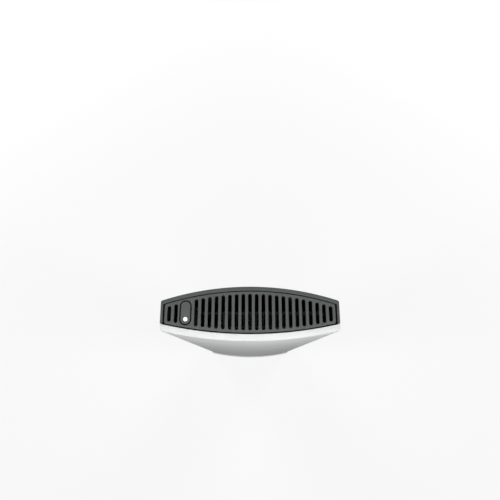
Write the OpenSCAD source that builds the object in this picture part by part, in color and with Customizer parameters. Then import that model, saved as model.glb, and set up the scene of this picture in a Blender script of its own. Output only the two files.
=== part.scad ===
// Slim column mini PC. A dark front shell and a pale rear cover close a column with a
// lens-shaped section. A slatted vent and the power button are on top, the computer hangs
// below them, and its ports face down into a cable bay that stands on the foot.
// Millimetres. X runs across the width, +Y faces the front, where a display arm bolts on,
// Z runs up the column, and the origin is under the middle of the foot.

/* [Body] */
// Width across the flat ends
body_w = 101; // [97:1:112]
// Height from the table to the top rim
body_h = 360; // [330:5:420]
// Depth of the flat ends
end_d = 16.7; // [16:0.1:20]
// Rise of the front face from its ends to its middle
front_crown = 8.1; // [7:0.1:10]
// Rise of the rear face from its ends to its middle
rear_crown = 5.6; // [5:0.1:8]
// Radius of the upright corners
corner_r = 1.4; // [0.8:0.1:1.6]
// Thickness of the front wall
shell_wall = 2.4; // [1.8:0.1:3]
// Thickness of the end walls
end_wall = 1.8; // [1.4:0.1:2.2]

/* [Rear cover] */
// Thickness of the rear cover
cover_wall = 2.2; // [1.6:0.1:2.6]
// Width of the pale rim seen from above
rim_w = 3.75; // [3.6:0.05:5]
// Height that the rim falls from its inner to its outer edge
rim_drop = 1.5; // [0.5:0.1:2.4]
// Thickness of the rim at its inner edge
rim_t = 2.2; // [1.6:0.1:2.6]
// Gap between the cover and what it meets
seam_gap = 0.3; // [0.2:0.1:0.6]
// Depth of the tongues that guide the cover into the shell
tongue_l = 6; // [4:0.5:7]

/* [Top grille] */
// Thickness of the grille plate
grille_t = 2.6; // [2:0.1:3.5]
// Gap between the grille plate and the end walls or the rear cover
grille_gap = 0.65; // [0.3:0.05:0.8]
// Gap between the grille plate and the front wall
front_gap = 0.4; // [0.3:0.05:0.8]
// Rebate in the end walls beside the grille
rebate_w = 0.3; // [0:0.05:0.4]
// Distance from slot to slot
slot_pitch = 3.79; // [3.4:0.01:4.2]
// Width of one slot
slot_w = 2.05; // [1.4:0.05:2.4]
// Distance from the slot ends to the edge of the plate
slot_margin = 1.4; // [1:0.1:3]

/* [Power button] */
// Width of the button
button_w = 5.3; // [4.6:0.1:5.8]
// Length of the button
button_l = 12.6; // [11:0.1:13]
// Gap round the button
button_gap = 0.7; // [0.3:0.05:0.8]
// Travel of the button
button_travel = 0.8; // [0.4:0.1:1]
// Diameter of the light pipe
pipe_d = 2.5; // [1.6:0.1:3]

/* [Foot] */
// Thickness of the foot plate
foot_t = 3; // [2:0.5:5]
// Distance that the foot plate stands out past the body
foot_lip = 1.3; // [0.4:0.1:2]
// Height of the rubber pads
pad_h = 1; // [0.6:0.1:2]
// Width of the cable opening in the front wall
arch_w = 50; // [30:1:60]
// Height of the cable opening in the front wall
arch_h = 30; // [20:1:40]

/* [Display arm mount] */
// Spacing of the arm screws across the width
arm_dx = 35; // [30:1:40]
// Spacing of the arm screws up the column
arm_dz = 75; // [60:1:80]
// Bore of the threaded inserts
insert_bore = 3.3; // [2.5:0.1:4.2]
// Outer diameter of the threaded inserts
insert_d = 5.6; // [5:0.1:6.4]
// Length of the threaded inserts
insert_l = 6; // [4:0.5:7]

/* [Computer] */
// Height from the port panel to the underside of the grille
module_h = 256; // [256:1:264]
// Thickness of the chassis tray
tray_t = 0.8; // [0.6:0.1:1]
// Length of the board standoffs
standoff_h = 2.2; // [2:0.1:2.6]
// Thickness of the system board
board_t = 1.4; // [1:0.1:1.6]
// Thickness of the 2.5-inch drive
drive_t = 7; // [5:0.5:7]

/* [Cooling] */
// Outer radius of the fan housing
fan_r = 29; // [26:0.5:30]
// Depth of the fan housing
fan_d = 8; // [7:0.1:8.4]
// Radius of the impeller
impeller_r = 25.5; // [22:0.5:26]
// Number of impeller blades
blade_n = 29; // [15:1:35]
// Width of the heat pipes
heat_pipe_w = 6; // [5:0.1:6.4]
// Thickness of the heat pipes
heat_pipe_t = 2.4; // [1.8:0.1:2.6]
// Distance from fin to fin
fin_pitch = 1.9; // [1.4:0.1:3]
// Thickness of one fin
fin_t = 0.4; // [0.3:0.1:0.6]

/* [Hidden] */
$fn = 48;
arc_fn = 720;
big = 200;
eps = 0.01;

// Section of the column: two arcs cut off by the flat ends
hw = body_w / 2;
body_d = end_d + front_crown + rear_crown;
front_r = (hw * hw + front_crown * front_crown) / (2 * front_crown);
rear_r = (hw * hw + rear_crown * rear_crown) / (2 * rear_crown);
front_cy = body_d / 2 - front_r;
rear_cy = rear_r - body_d / 2;
inner_hw = hw - end_wall;
// The corner rounds stand this much proud of the arcs, so that the curves cross cleanly
corner_proud = 0.02;

// Heights
foot_top = pad_h + foot_t;
grille_z = body_h - grille_t;
io_z = grille_z - module_h;
board_lift = 4;
b0 = io_z + board_lift;

// Depths of the computer, from the tray backwards
tray_rear = 0.4;
tray_front = tray_rear + tray_t;
board_front = tray_rear - standoff_h;
board_rear = board_front - board_t;
part_gap = 0.3;

// Tray and board: widths follow the end walls, heights count from the board's lower edge
tray_side_gap = 1.6;
tray_hw = inner_hw - tray_side_gap;
tray_z0 = b0 - 1;
tray_up = 248;
tray_z1 = b0 + tray_up;
tray_screw_in = 3;
tray_screw_x = tray_hw - tray_screw_in;
tray_screw_ups = [30, 104, 181];
tray_screw_zs = [for (u = tray_screw_ups) b0 + u];
tray_boss_d = 6;
board_side_gap = 2.2;
board_hw = inner_hw - board_side_gap;
board_h = 172;
standoff_in = 2.6;
standoff_x = board_hw - standoff_in;
standoff_ups = [16, 60, 167.6];
standoff_zs = [for (u = standoff_ups) b0 + u];
standoff_d = 4.5;
drive_up = 36;
drive_z0 = b0 + drive_up;
drive_w = 70;
drive_l = 100;
drive_screw_x = 30.86;
drive_screw_low = 14;
drive_screw_step = 76.6;
drive_screw_zs = [drive_z0 + drive_screw_low, drive_z0 + drive_screw_low + drive_screw_step];
drive_cable_up = 12;
drive_cable_z = drive_z0 + drive_l + drive_cable_up;
drive_cable_w = 24;
drive_cable_t = 0.5;
drive_plug_w = 28;
drive_plug_y = tray_front + drive_t / 2;
drive_plug_t = 2.4;
drive_plug_sunk = 2.8;
drive_plug_out = 2;
cable_slot_w = 32;
cable_slot_h = 9;
cable_slot_r = 2;
vent_ups = [60, 84, 108];
vent_w = 40;
vent_h = 12;
vent_r = 4;
relief_x = 18;
relief_up = 196;
relief_w = 10;
relief_h = 24;

// Screws, by their thread
m2_d = 2;
m2_head_d = 3.8;
m2_head_h = 1.2;
m3_d = 3;
m3_pilot_d = 2.5;
m3_head_d = 5.5;
m3_head_h = 1.4;
screw_clear = 0.2;

// Cover tongues, on heights that leave the antenna leads free
tongue_t = 1.2;
tongue_h = 14;
tongue_gap = 0.4;
tongue_ups = [30, 118];
tongue_low = 22;
tongue_zs = concat([foot_top + tongue_low], [for (u = tongue_ups) io_z + u]);
cover_z0 = foot_top + seam_gap;
cover_flange = 2.4;
cover_flange_w = 3.6;

// Grille: the slots keep their pitch and make room for the button
grille_hw = inner_hw - grille_gap;
slot_half_n = floor((grille_hw - slot_margin - slot_w / 2) / slot_pitch);
button_slots_in = 2.5;
button_aside = 0.3;
button_ahead = 0.2;
button_x = (button_slots_in - slot_half_n) * slot_pitch - button_aside;
button_y = (front_at(button_x, shell_wall + front_gap) + rear_at(button_x, rim_w + grille_gap)) / 2 + button_ahead;
post_d = 6;
post_t = 2;
post_h = 12;
post_x = inner_hw - post_t;
clip_x = 6.5 * slot_pitch;
clip_t = 1.2;
clip_gap = 0.3;
clip_w = slot_pitch - slot_w - 0.2;
clip_barb = 0.9;
clip_barb_h = 1.4;
clip_play = 0.2;
clip_z0 = grille_z - post_h - clip_play - clip_barb_h;
catch_w = 4;
catch_d = 2.6;
catch_y = front_at(clip_x, shell_wall) - catch_d;

// Power button stack, counted down from the top
button_flange = 0.9;
button_flange_t = 1.6;
button_lift = 0.2;
button_body_z = grille_z - button_lift - button_flange_t;
stem_d = 3.6;
pwr_board_z = body_h - 18;
pwr_board_t = 1.2;
pwr_board_w = 14;
pwr_board_x0 = button_x - pwr_board_w / 2;
pwr_board_y0 = button_y - 5.8;
pwr_board_l = 11.8;
shelf_t = 3;
shelf_y0 = button_y - 3.2;
switch_y = button_y + 2.2;
switch_w = 6;
switch_h = 3;
plunger_d = 3;
plunger_gap = 0.15;
plunger_out = 1.2;
plunger_in = 1.4;
plunger_top = pwr_board_z + switch_h + plunger_out;
light_y = button_y - 3.6;
light_pipe_z = pwr_board_z + 3;
led_w = 1.6;
led_h = 0.7;
pwr_screw_y = button_y + 4.8;
pwr_screw_dx = 5.2;

// Port panel
panel_t = 0.8;
panel_gap = 0.3;
ledge_w = 4.5;
ledge_d = 8;
ledge_h = 3;
panel_screw_x = inner_hw - 2.6;
panel_screw_y = 3.4;

// Ports: width, depth towards the rear and length up the board, spread over the panel
port_clear = 0.2;
audio_w = 6.4;
audio_t = 4.6;
audio_l = 12;
audio_bore = 3.6;
inlet_w = 8;
inlet_t = 5.4;
inlet_l = 12;
inlet_bore = 4.5;
inlet_pin = 1;
usb_a_w = 13.6;
usb_a_t = 6.4;
usb_a_l = 14;
lan_w = 16;
lan_t = 11.4;
lan_l = 18;
lan_front = tray_rear - 0.6;
lan_plug_w = 11.8;
lan_plug_t = 6.8;
lan_latch_w = 6.4;
lan_latch_t = 4;
lan_depth = 13;
lan_wall = 1.2;
usb_c_w = 9;
usb_c_t = 3.3;
usb_c_l = 9;
port_side_gap = 6;
port_hw = board_hw - port_side_gap;
port_ws = [audio_w, inlet_w, usb_a_w, lan_w, usb_a_w, usb_c_w];
port_step = (2 * port_hw - width_before(6)) / 5;
audio_x = port_x(0);
inlet_x = port_x(1);
usb_a_xs = [port_x(2), port_x(4)];
lan_x = port_x(3);
usb_c_x = port_x(5);

// Memory, cards and chips on the rear face of the board
mem_x = 0;
mem_w = 67.6;
mem_h = 30;
mem_t = 1;
mem_lift = 2.2;
mem_socket_w = 69.6;
mem_socket_h = 5;
mem_socket_t = 4;
mem_insert = 2;
mem_play = 0.1;
mem_ups = [21.5, 55];
mem_zs = [for (u = mem_ups) b0 + u];
card_t = 0.8;
card_lift = 1.6;
card_w = 22;
ssd_l = 80;
ssd_x0 = -39.5;
ssd_up = 100.5;
ssd_z = b0 + ssd_up;
wifi_l = 30;
wifi_in = 13;
wifi_x = board_hw - wifi_in;
wifi_up = 116.5;
wifi_z0 = b0 + wifi_up;
socket_t = 3.2;
socket_l = 5;
socket_insert = 2;
card_seat_d = 4;
coin_in = 16;
coin_x = board_hw - coin_in;
coin_up = 160.5;
coin_z = b0 + coin_up;
coin_d = 20;
coin_t = 3.2;
chip_t = 1.1;
side_chip_w = 5.5;
side_chip_h = 9;
side_chip_in = 3.6;
side_chip_ups = [30, 46, 76];
port_chip_w = 6;
port_chip_h = 4;
port_chip_up = 17;
hub_chip_w = 9;
hub_chip_left = 10;
clock_chip_w = 6;
clock_chip_h = 8;
clock_chip_right = 6;
hub_chip_up = 162;
plug_t = 2;
plug_h = 4;
ribbon_plug_down = 5;
fan_plug_w = 8;
fan_plug_down = 5.5;
fan_plug_mouth = 5.4;
choke_n = 4;
choke_w = 6.5;
choke_r = 1;
choke_t = 2.6;
choke_pitch = 8.5;
choke_left = 13;
choke_up = 151.5;

// Processor, cold plate and heat pipes
bend_inset = 19.6;
bend_x = bend_inset - board_hw;
cpu_reach = 19;
cpu_x = bend_x + cpu_reach;
cpu_up = 131;
cpu_z = b0 + cpu_up;
cpu_w = 42;
cpu_h = 24;
cpu_t = 1.2;
cold_w = 36;
cold_h = 18;
cold_t = 1.6;
cold_rear = board_rear - cpu_t - cold_t;
pipe_gap = 0.6;
pipe_step = heat_pipe_w + pipe_gap;
bend_in = 6;
pipe_x1 = cpu_x + cold_w / 2 - 1;
fin_up = 241;
fin_z = b0 + fin_up;
fin_h = 14;
fin_base_t = 0.5;
fin_rear = cold_rear - heat_pipe_t - 0.2;
low_bend_z = cpu_z + pipe_step / 2 + bend_in;
high_bend_z = fin_z - pipe_step / 2 - bend_in;
clamp_t = 0.6;
clamp_w = 8;
clamp_dx = 18;
clamp_post_z = 14.4;

// Fan
fan_inset = 35;
fan_x = tray_hw - fan_inset;
fan_up = 204;
fan_z = b0 + fan_up;
fan_mouth_up = 233;
fan_top = b0 + fan_mouth_up;
fin_left = 27.5;
fin_right = 29.5;
fin_x0 = fan_x - fin_left;
fin_x1 = fan_x + fin_right;
fan_base_t = 0.8;
fan_wall = 1;
fan_cover_t = 0.6;
fan_inlet_r = 19;
fan_gap = 0.5;
fan_rear = tray_rear - fan_d;
hub_r = 11;
hub_wall = 1;
sleeve_r = 3;
shaft_d = 2;
shaft_gap = 0.06;
stator_r = 9;
blade_t = 0.6;
blade_arc = 22;
fan_ear_r = 3;
fan_ear_at = fan_r + 2.2;
fan_ears = [for (a = [222, 318]) [fan_x + fan_ear_at * cos(a), fan_z + fan_ear_at * sin(a)]];

// Cables
ribbon_w = 5;
ribbon_t = 0.3;
lead_d = 1.1;
antenna_t = 0.5;
antenna_w = 8;
antenna_up = 186;
antenna_z0 = b0 + antenna_up;
antenna_l = 34;

// Display arm mount
arm_up = 195;
arm_z = b0 + arm_up;
arm_pad_w = 48;
arm_pad_h = 96;
arm_pad_r = 4;
boss_d = 9.4;
boss_l = insert_l + 1.2;
insert_sink = 0.2;

// Y of the front or rear outline at a given X, moved inwards by a given amount
function front_at(x, inset) = front_cy + sqrt(pow(front_r - inset, 2) - x * x);
function rear_at(x, inset) = rear_cy - sqrt(pow(rear_r - inset, 2) - x * x);

// Width of the ports to the left of port i, and the middle of port i
function width_before(i) = i == 0 ? 0 : width_before(i - 1) + port_ws[i - 1];
function port_x(i) = -port_hw + width_before(i) + i * port_step + port_ws[i] / 2;

// Everything behind the front outline, with rounded corners at its two ends
module front_half(inset, half_w, r) {
  arc = front_r - inset;
  yc = front_cy + sqrt(pow(arc - r + corner_proud, 2) - pow(half_w - r, 2));
  xt = (half_w - r) * arc / (arc - r);
  intersection() {
    translate([0, front_cy]) circle(arc, $fn = arc_fn);
    translate([-xt, -big / 2]) square([2 * xt, big]);
  }
  translate([-half_w, -big / 2]) square([2 * half_w, big / 2 + yc]);
  for (s = [-1, 1]) translate([s * (half_w - r), yc]) circle(r);
}

// Everything in front of the rear outline, with rounded corners at its two ends
module rear_half(inset, half_w, r) {
  arc = rear_r - inset;
  yc = rear_cy - sqrt(pow(arc - r + corner_proud, 2) - pow(half_w - r, 2));
  xt = (half_w - r) * arc / (arc - r);
  intersection() {
    translate([0, rear_cy]) circle(arc, $fn = arc_fn);
    translate([-xt, -big / 2]) square([2 * xt, big]);
  }
  translate([-half_w, yc]) square([2 * half_w, big / 2 - yc]);
  for (s = [-1, 1]) translate([s * (half_w - r), yc]) circle(r);
}

// Lens-shaped outline between the two
module lens(front_inset, rear_inset, half_w, r) {
  intersection() {
    front_half(front_inset, half_w, r);
    rear_half(rear_inset, half_w, r);
  }
}

// Oblong with round ends, long along Y
module oblong(w, l) {
  square([w, l - w], center = true);
  for (s = [-1, 1]) translate([0, s * (l - w) / 2]) circle(w / 2);
}

// Rectangle with round corners, given by its middle
module round_rect(w, h, r) {
  square([w - 2 * r, h], center = true);
  square([w, h - 2 * r], center = true);
  for (sx = [-1, 1], sy = [-1, 1]) translate([sx * (w / 2 - r), sy * (h / 2 - r)]) circle(r);
}

// Plate that faces front and rear: its outline is drawn in X and Z
module slab(y_front, t) {
  translate([0, y_front, 0]) rotate([90, 0, 0]) linear_extrude(t) children();
}

// Strip that runs along X: its outline is drawn in Y and Z
module strip(x0, w) {
  translate([x0, 0, 0]) rotate([90, 0, 90]) linear_extrude(w) children();
}

// Round bar along Y from y0 forwards to y1
module bar_y(x, z, y0, y1, d) {
  translate([x, y1, z]) rotate([90, 0, 0]) cylinder(h = y1 - y0, d = d);
}

// Block from its lowest corner to its highest
module block(p, q) {
  translate(p) cube(q - p);
}

// Round lead through a list of points
module lead(points, d) {
  joint = 1.06;
  for (i = [0 : len(points) - 2]) {
    step = points[i + 1] - points[i];
    reach = norm(step);
    translate(points[i])
      rotate([0, acos(step[2] / reach), atan2(step[1], step[0])])
        cylinder(h = reach, d = d, $fn = 24);
  }
  for (i = [1 : len(points) - 2]) translate(points[i]) sphere(d = joint * d, $fn = 24);
}

// Thin ribbon outline that follows points in Y and Z
module ribbon(points, t) {
  for (i = [0 : len(points) - 2]) {
    a = points[i];
    step = points[i + 1] - a;
    side = [-step[1], step[0]] * t / 2 / norm(step);
    polygon([a - side, points[i + 1] - side, points[i + 1] + side, a + side]);
  }
  for (i = [1 : len(points) - 2]) translate(points[i]) circle(t / 2, $fn = 16);
}

// Part ring of a given profile about the axis of the rear face
module rear_sweep() {
  translate([0, rear_cy, 0]) rotate([0, 0, 255]) rotate_extrude(angle = 30, $fn = arc_fn) children();
}

// Dark channel: front wall, both end walls, arm pad, posts and ledges
module front_shell() {
  color("#606362")
  difference() {
    union() {
      translate([0, 0, foot_top]) linear_extrude(body_h - foot_top) difference() {
        lens(0, rim_w + seam_gap, hw, corner_r);
        intersection() {
          translate([0, front_cy]) circle(front_r - shell_wall, $fn = arc_fn);
          translate([-inner_hw, -big / 2]) square([2 * inner_hw, big]);
        }
      }
      slab(body_d / 2, body_d / 2 - front_at(arm_pad_w / 2, shell_wall / 2))
        translate([0, arm_z]) round_rect(arm_pad_w, arm_pad_h, arm_pad_r);
      for (sx = [-1, 1], sz = [-1, 1])
        bar_y(sx * arm_dx / 2, arm_z + sz * arm_dz / 2, body_d / 2 - boss_l, body_d / 2 - eps, boss_d);
      for (sx = [-1, 1], z = tray_screw_zs)
        bar_y(sx * tray_screw_x, z, tray_front, front_at(tray_screw_x, shell_wall / 2), tray_boss_d);
      for (s = [-1, 1]) {
        grille_post(s);
        panel_ledge(s);
        foot_boss(s);
      }
      button_shelf();
    }
    for (sx = [-1, 1], sz = [-1, 1])
      bar_y(sx * arm_dx / 2, arm_z + sz * arm_dz / 2, body_d / 2 - insert_sink - insert_l,
        body_d / 2 + 1, insert_d);
    for (sx = [-1, 1], z = tray_screw_zs)
      bar_y(sx * tray_screw_x, z, tray_front - 1, tray_front + 4.5, m3_pilot_d);
    for (s = [-1, 1]) {
      translate([s * panel_screw_x, panel_screw_y, io_z - ledge_h - 1]) cylinder(h = ledge_h + 2, d = m2_d);
      translate([s * foot_screw_x(), 0, foot_top - 1]) cylinder(h = 9, d = m3_pilot_d);
      translate([button_x + s * pwr_screw_dx, pwr_screw_y, pwr_board_z - pwr_board_t - shelf_t - 1])
        cylinder(h = shelf_t + 2, d = m2_d);
    }
    slab(body_d / 2 + 1, body_d / 2 + 1)
      translate([0, foot_top + arch_h / 2 - 4]) round_rect(arch_w, arch_h + 8, 8);
    translate([0, 0, grille_z]) linear_extrude(grille_t + 1) intersection() {
      translate([0, front_cy]) circle(front_r - shell_wall, $fn = arc_fn);
      for (s = [-1, 1]) translate([s * (inner_hw + (rebate_w - eps) / 2), 0])
        square([rebate_w + eps, big], center = true);
    }
  }
}

// Post that carries one end of the grille, and the catch for one of its clips
module grille_post(s) {
  translate([s * (post_x + post_t / 2 + eps / 2), 0, grille_z - post_h / 2])
    cube([post_t + eps, post_d, post_h], center = true);
  block([s * clip_x - catch_w / 2, catch_y, grille_z - post_h],
    [s * clip_x + catch_w / 2, front_at(clip_x, shell_wall / 2), grille_z]);
}

// Ledge that carries one end of the port panel
module panel_ledge(s) {
  translate([s * (inner_hw - ledge_w / 2 + eps / 2), 1, io_z - ledge_h / 2])
    cube([ledge_w + eps, ledge_d, ledge_h], center = true);
}

// Upright boss for one foot screw, against the end wall
module foot_boss(s) {
  translate([s * (inner_hw - ledge_w + eps / 2), 0, foot_top + 6])
    cube([2 * ledge_w + eps, ledge_d, 12], center = true);
}

function foot_screw_x() = inner_hw - ledge_w;

// Shelf under the button board, from the front wall backwards
module button_shelf() {
  z1 = pwr_board_z - pwr_board_t;
  difference() {
    block([pwr_board_x0, shelf_y0, z1 - shelf_t],
      [pwr_board_x0 + pwr_board_w, front_at(button_x, shell_wall / 2) + 1, z1]);
    translate([0, 0, z1 - shelf_t - 1]) linear_extrude(shelf_t + 2) difference() {
      translate([-hw, -big / 2]) square([body_w, big]);
      front_half(shell_wall / 2, hw, corner_r);
    }
  }
}

// Pale cover: rear wall, falling rim, end returns, bottom flange and guide tongues
module rear_cover() {
  rim_arc = (rim_w * rim_w + rim_drop * rim_drop) / (2 * rim_drop);
  color("#e2e5e8") {
    difference() {
      intersection() {
        rear_sweep() intersection() {
          translate([rear_r - rim_w, cover_z0]) square([rim_w, body_h - cover_z0]);
          union() {
            translate([rear_r - rim_w, body_h - rim_arc]) circle(rim_arc, $fn = 180);
            translate([rear_r - rim_w, cover_z0]) square([rim_w, body_h - rim_arc - cover_z0]);
          }
        }
        translate([0, 0, cover_z0 - 1]) linear_extrude(body_h) rear_half(0, hw, corner_r);
      }
      intersection() {
        rear_sweep() translate([rear_r - rim_w - 2, cover_z0 + cover_flange])
          square([rim_w + 2 - cover_wall, body_h - rim_t - rim_drop - cover_z0 - cover_flange]);
        block([-inner_hw, -big / 2, cover_z0], [inner_hw, big / 2, body_h]);
      }
      rear_sweep() translate([rear_r - rim_w - 2, cover_z0 - 1])
        square([rim_w + 2 - cover_flange_w, cover_flange + 2]);
    }
    for (s = [-1, 1], z = tongue_zs) cover_tongue(s, z);
  }
}

// One guide tongue, standing on the inside of the rear wall
module cover_tongue(s, z) {
  x = inner_hw - tongue_gap - tongue_t;
  x0 = s > 0 ? x : -x - tongue_t;
  y0 = rear_at(inner_hw, cover_wall / 2);
  block([x0, y0, z], [x0 + tongue_t, y0 + tongue_l, z + tongue_h]);
}

// Slatted vent plate with the button hole and two spring clips
module top_grille() {
  color("#636665") {
    translate([0, 0, grille_z]) linear_extrude(grille_t) difference() {
      lens(shell_wall + front_gap, rim_w + grille_gap, grille_hw, corner_r);
      for (i = [-slot_half_n : slot_half_n]) vent_slot(i * slot_pitch);
      translate([button_x, button_y]) oblong(button_w + 2 * button_gap, button_l + 2 * button_gap);
    }
    for (s = [-1, 1]) {
      y = catch_y - clip_gap;
      block([s * clip_x - clip_w / 2, y - clip_t, clip_z0],
        [s * clip_x + clip_w / 2, y, grille_z + eps]);
      block([s * clip_x - clip_w / 2, y - eps, clip_z0],
        [s * clip_x + clip_w / 2, catch_y + clip_barb, clip_z0 + clip_barb_h]);
    }
  }
}

// One slot, left out where the button is
module vent_slot(x) {
  reach = abs(x) + slot_w / 2;
  y1 = front_at(reach, shell_wall + front_gap + slot_margin);
  y0 = rear_at(reach, rim_w + grille_gap + slot_margin);
  if (abs(x - button_x) > (button_w + slot_w) / 2 + button_gap + 0.6)
    translate([x, (y0 + y1) / 2]) oblong(slot_w, y1 - y0);
}

// Foot plate with a lip all round and countersunk screw holes
module foot_plate() {
  color("#d4d7da")
  difference() {
    translate([0, 0, pad_h]) linear_extrude(foot_t)
      lens(-foot_lip, -foot_lip, hw + foot_lip, corner_r + foot_lip);
    for (s = [-1, 1]) translate([s * foot_screw_x(), 0, pad_h - 1]) {
      cylinder(h = foot_t + 2, d = m3_d + 2 * screw_clear);
      cylinder(h = 1 + m3_head_h + screw_clear, d = m3_head_d + 2 * screw_clear);
    }
  }
}

// Rubber pads along the front, rear and end edges of the foot
module foot_pads() {
  ring = 4;
  color("#1c1d1e")
  linear_extrude(pad_h) intersection() {
    difference() {
      lens(0, 0, hw, corner_r);
      lens(ring, ring, hw - ring, corner_r);
    }
    union() {
      square([hw, big], center = true);
      for (s = [-1, 1]) translate([s * hw, 0]) square([hw / 3, big], center = true);
    }
  }
}

// Screws that hold the shell on the foot plate
module foot_screws() {
  color("#8c8f92")
  for (s = [-1, 1]) translate([s * foot_screw_x(), 0, 0]) {
    translate([0, 0, pad_h + screw_clear]) cylinder(h = m3_head_h, d = m3_head_d);
    translate([0, 0, pad_h + screw_clear]) cylinder(h = foot_t + 6, d = m3_pilot_d);
  }
}

// Brass inserts for the screws of the display arm
module arm_inserts() {
  color("#b08d57")
  for (sx = [-1, 1], sz = [-1, 1]) difference() {
    bar_y(sx * arm_dx / 2, arm_z + sz * arm_dz / 2, body_d / 2 - insert_sink - insert_l,
      body_d / 2 - insert_sink, insert_d);
    bar_y(sx * arm_dx / 2, arm_z + sz * arm_dz / 2, body_d / 2 - insert_l - 1, body_d / 2 + 1, insert_bore);
  }
}

// Button cap with its retaining flange and the stem over the switch
module power_button() {
  color("#5d5f5e")
  difference() {
    union() {
      translate([button_x, button_y, button_body_z]) linear_extrude(body_h - button_body_z)
        oblong(button_w, button_l);
      translate([button_x, button_y, button_body_z]) linear_extrude(button_flange_t)
        oblong(button_w + 2 * button_flange, button_l + 2 * button_flange);
      translate([button_x, switch_y, plunger_top])
        cylinder(h = button_body_z - plunger_top + eps, d = stem_d);
    }
    translate([button_x, light_y, button_body_z - 1]) cylinder(h = body_h, d = pipe_d);
  }
}

// Clear rod that carries the light up to the dot on the button
module light_pipe() {
  color("#f3f5f5")
  translate([button_x, light_y, light_pipe_z]) cylinder(h = body_h - light_pipe_z, d = pipe_d);
}

// Body of the push switch, open on top for its plunger
module power_switch() {
  color("#2a2b2d")
  difference() {
    translate([button_x, switch_y, pwr_board_z + switch_h / 2])
      cube([switch_w, switch_w, switch_h], center = true);
    translate([button_x, switch_y, pwr_board_z + switch_h - plunger_in - button_travel - part_gap])
      cylinder(h = switch_h, d = plunger_d + 2 * plunger_gap);
  }
}

// Plunger of the push switch
module switch_plunger() {
  color("#c9b27c")
  translate([button_x, switch_y, plunger_top - plunger_out - plunger_in])
    cylinder(h = plunger_out + plunger_in, d = plunger_d);
}

// White light under the light pipe
module power_light() {
  color("#f0f0e0")
  translate([button_x, light_y, pwr_board_z + led_h / 2]) cube([led_w, led_w / 2, led_h], center = true);
}

// Small board that carries the switch and the light
module button_board() {
  color("#1d4a2e")
  difference() {
    block([pwr_board_x0, pwr_board_y0, pwr_board_z - pwr_board_t],
      [pwr_board_x0 + pwr_board_w, pwr_board_y0 + pwr_board_l, pwr_board_z]);
    for (s = [-1, 1]) translate([button_x + s * pwr_screw_dx, pwr_screw_y, pwr_board_z - pwr_board_t - 1])
      cylinder(h = pwr_board_t + 2, d = m2_d + screw_clear);
  }
}

// Screws that hold the button board on its shelf
module button_board_screws() {
  color("#8c8f92")
  for (s = [-1, 1]) translate([button_x + s * pwr_screw_dx, pwr_screw_y, pwr_board_z]) {
    cylinder(h = m2_head_h, d = m2_head_d - 0.4);
    translate([0, 0, -pwr_board_t - shelf_t + 0.4]) cylinder(h = pwr_board_t + shelf_t - 0.4, d = m2_d);
  }
}

// Ribbon from the button board down the tray to the system board
module button_cable() {
  board_end = board_rear - 1;
  color("#1d1d1f")
  strip(button_x - ribbon_w / 2, ribbon_w) ribbon([
    [pwr_board_y0 + 1.2, pwr_board_z - pwr_board_t],
    [pwr_board_y0 + 1.2, pwr_board_z - 8],
    [tray_rear - ribbon_t / 2, pwr_board_z - 22],
    [tray_rear - ribbon_t / 2, b0 + board_h + 10],
    [board_end, b0 + board_h - 1],
    [board_end, b0 + board_h - ribbon_plug_down + 1]
  ], ribbon_t);
}

// Sheet steel tray that carries the board, the fan and the drive
module chassis_tray() {
  color("#303236")
  slab(tray_front, tray_t) difference() {
    translate([-tray_hw, tray_z0]) square([2 * tray_hw, tray_z1 - tray_z0]);
    translate([-big, pwr_board_z - 20]) square([big + pwr_board_x0 + pwr_board_w + 2, big]);
    translate([post_x - 4, grille_z - post_h - 4]) square([big, big]);
    for (sx = [-1, 1], z = tray_screw_zs) translate([sx * tray_screw_x, z]) circle(d = m3_d + screw_clear);
    for (sx = [-1, 1], z = drive_screw_zs) translate([sx * drive_screw_x, z]) circle(d = m3_d + screw_clear);
    translate([0, drive_cable_z]) round_rect(cable_slot_w, cable_slot_h, cable_slot_r);
    for (u = vent_ups) translate([0, b0 + u]) round_rect(vent_w, vent_h, vent_r);
    for (s = [-1, 1]) translate([s * relief_x, b0 + relief_up]) round_rect(relief_w, relief_h, vent_r);
  }
}

// Screws that hold the tray on the bosses of the front shell
module tray_screws() {
  color("#8c8f92")
  for (sx = [-1, 1], z = tray_screw_zs) {
    bar_y(sx * tray_screw_x, z, tray_rear - m3_head_h, tray_rear, m3_head_d);
    bar_y(sx * tray_screw_x, z, tray_rear - eps, tray_front + 4, m3_pilot_d);
  }
}

// Main circuit board, notched for the tall network jack
module system_board() {
  color("#17402a")
  slab(board_front, board_t) difference() {
    translate([0, b0 + board_h / 2]) round_rect(2 * board_hw, board_h, 2);
    translate([lan_x, b0]) square([lan_w + 2 * part_gap, 2 * (lan_l - 4 + part_gap)], center = true);
    for (sx = [-1, 1], z = standoff_zs) translate([sx * standoff_x, z]) circle(d = m2_d + screw_clear);
    for (s = [-1, 1]) translate([cpu_x + s * clamp_dx, cpu_z + s * clamp_post_z])
      circle(d = m2_d + screw_clear);
  }
}

// Hollow posts between the tray and the board
module board_standoffs() {
  color("#b08d57")
  for (sx = [-1, 1], z = standoff_zs) difference() {
    bar_y(sx * standoff_x, z, board_front, tray_rear, standoff_d);
    bar_y(sx * standoff_x, z, board_front - 1, tray_rear + 1, m2_d);
  }
}

// Screws that hold the board on its standoffs
module board_screws() {
  color("#8c8f92")
  for (sx = [-1, 1], z = standoff_zs) {
    bar_y(sx * standoff_x, z, board_rear - m2_head_h, board_rear, m2_head_d);
    bar_y(sx * standoff_x, z, board_rear - eps, tray_rear - 0.4, m2_d);
  }
}

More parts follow.
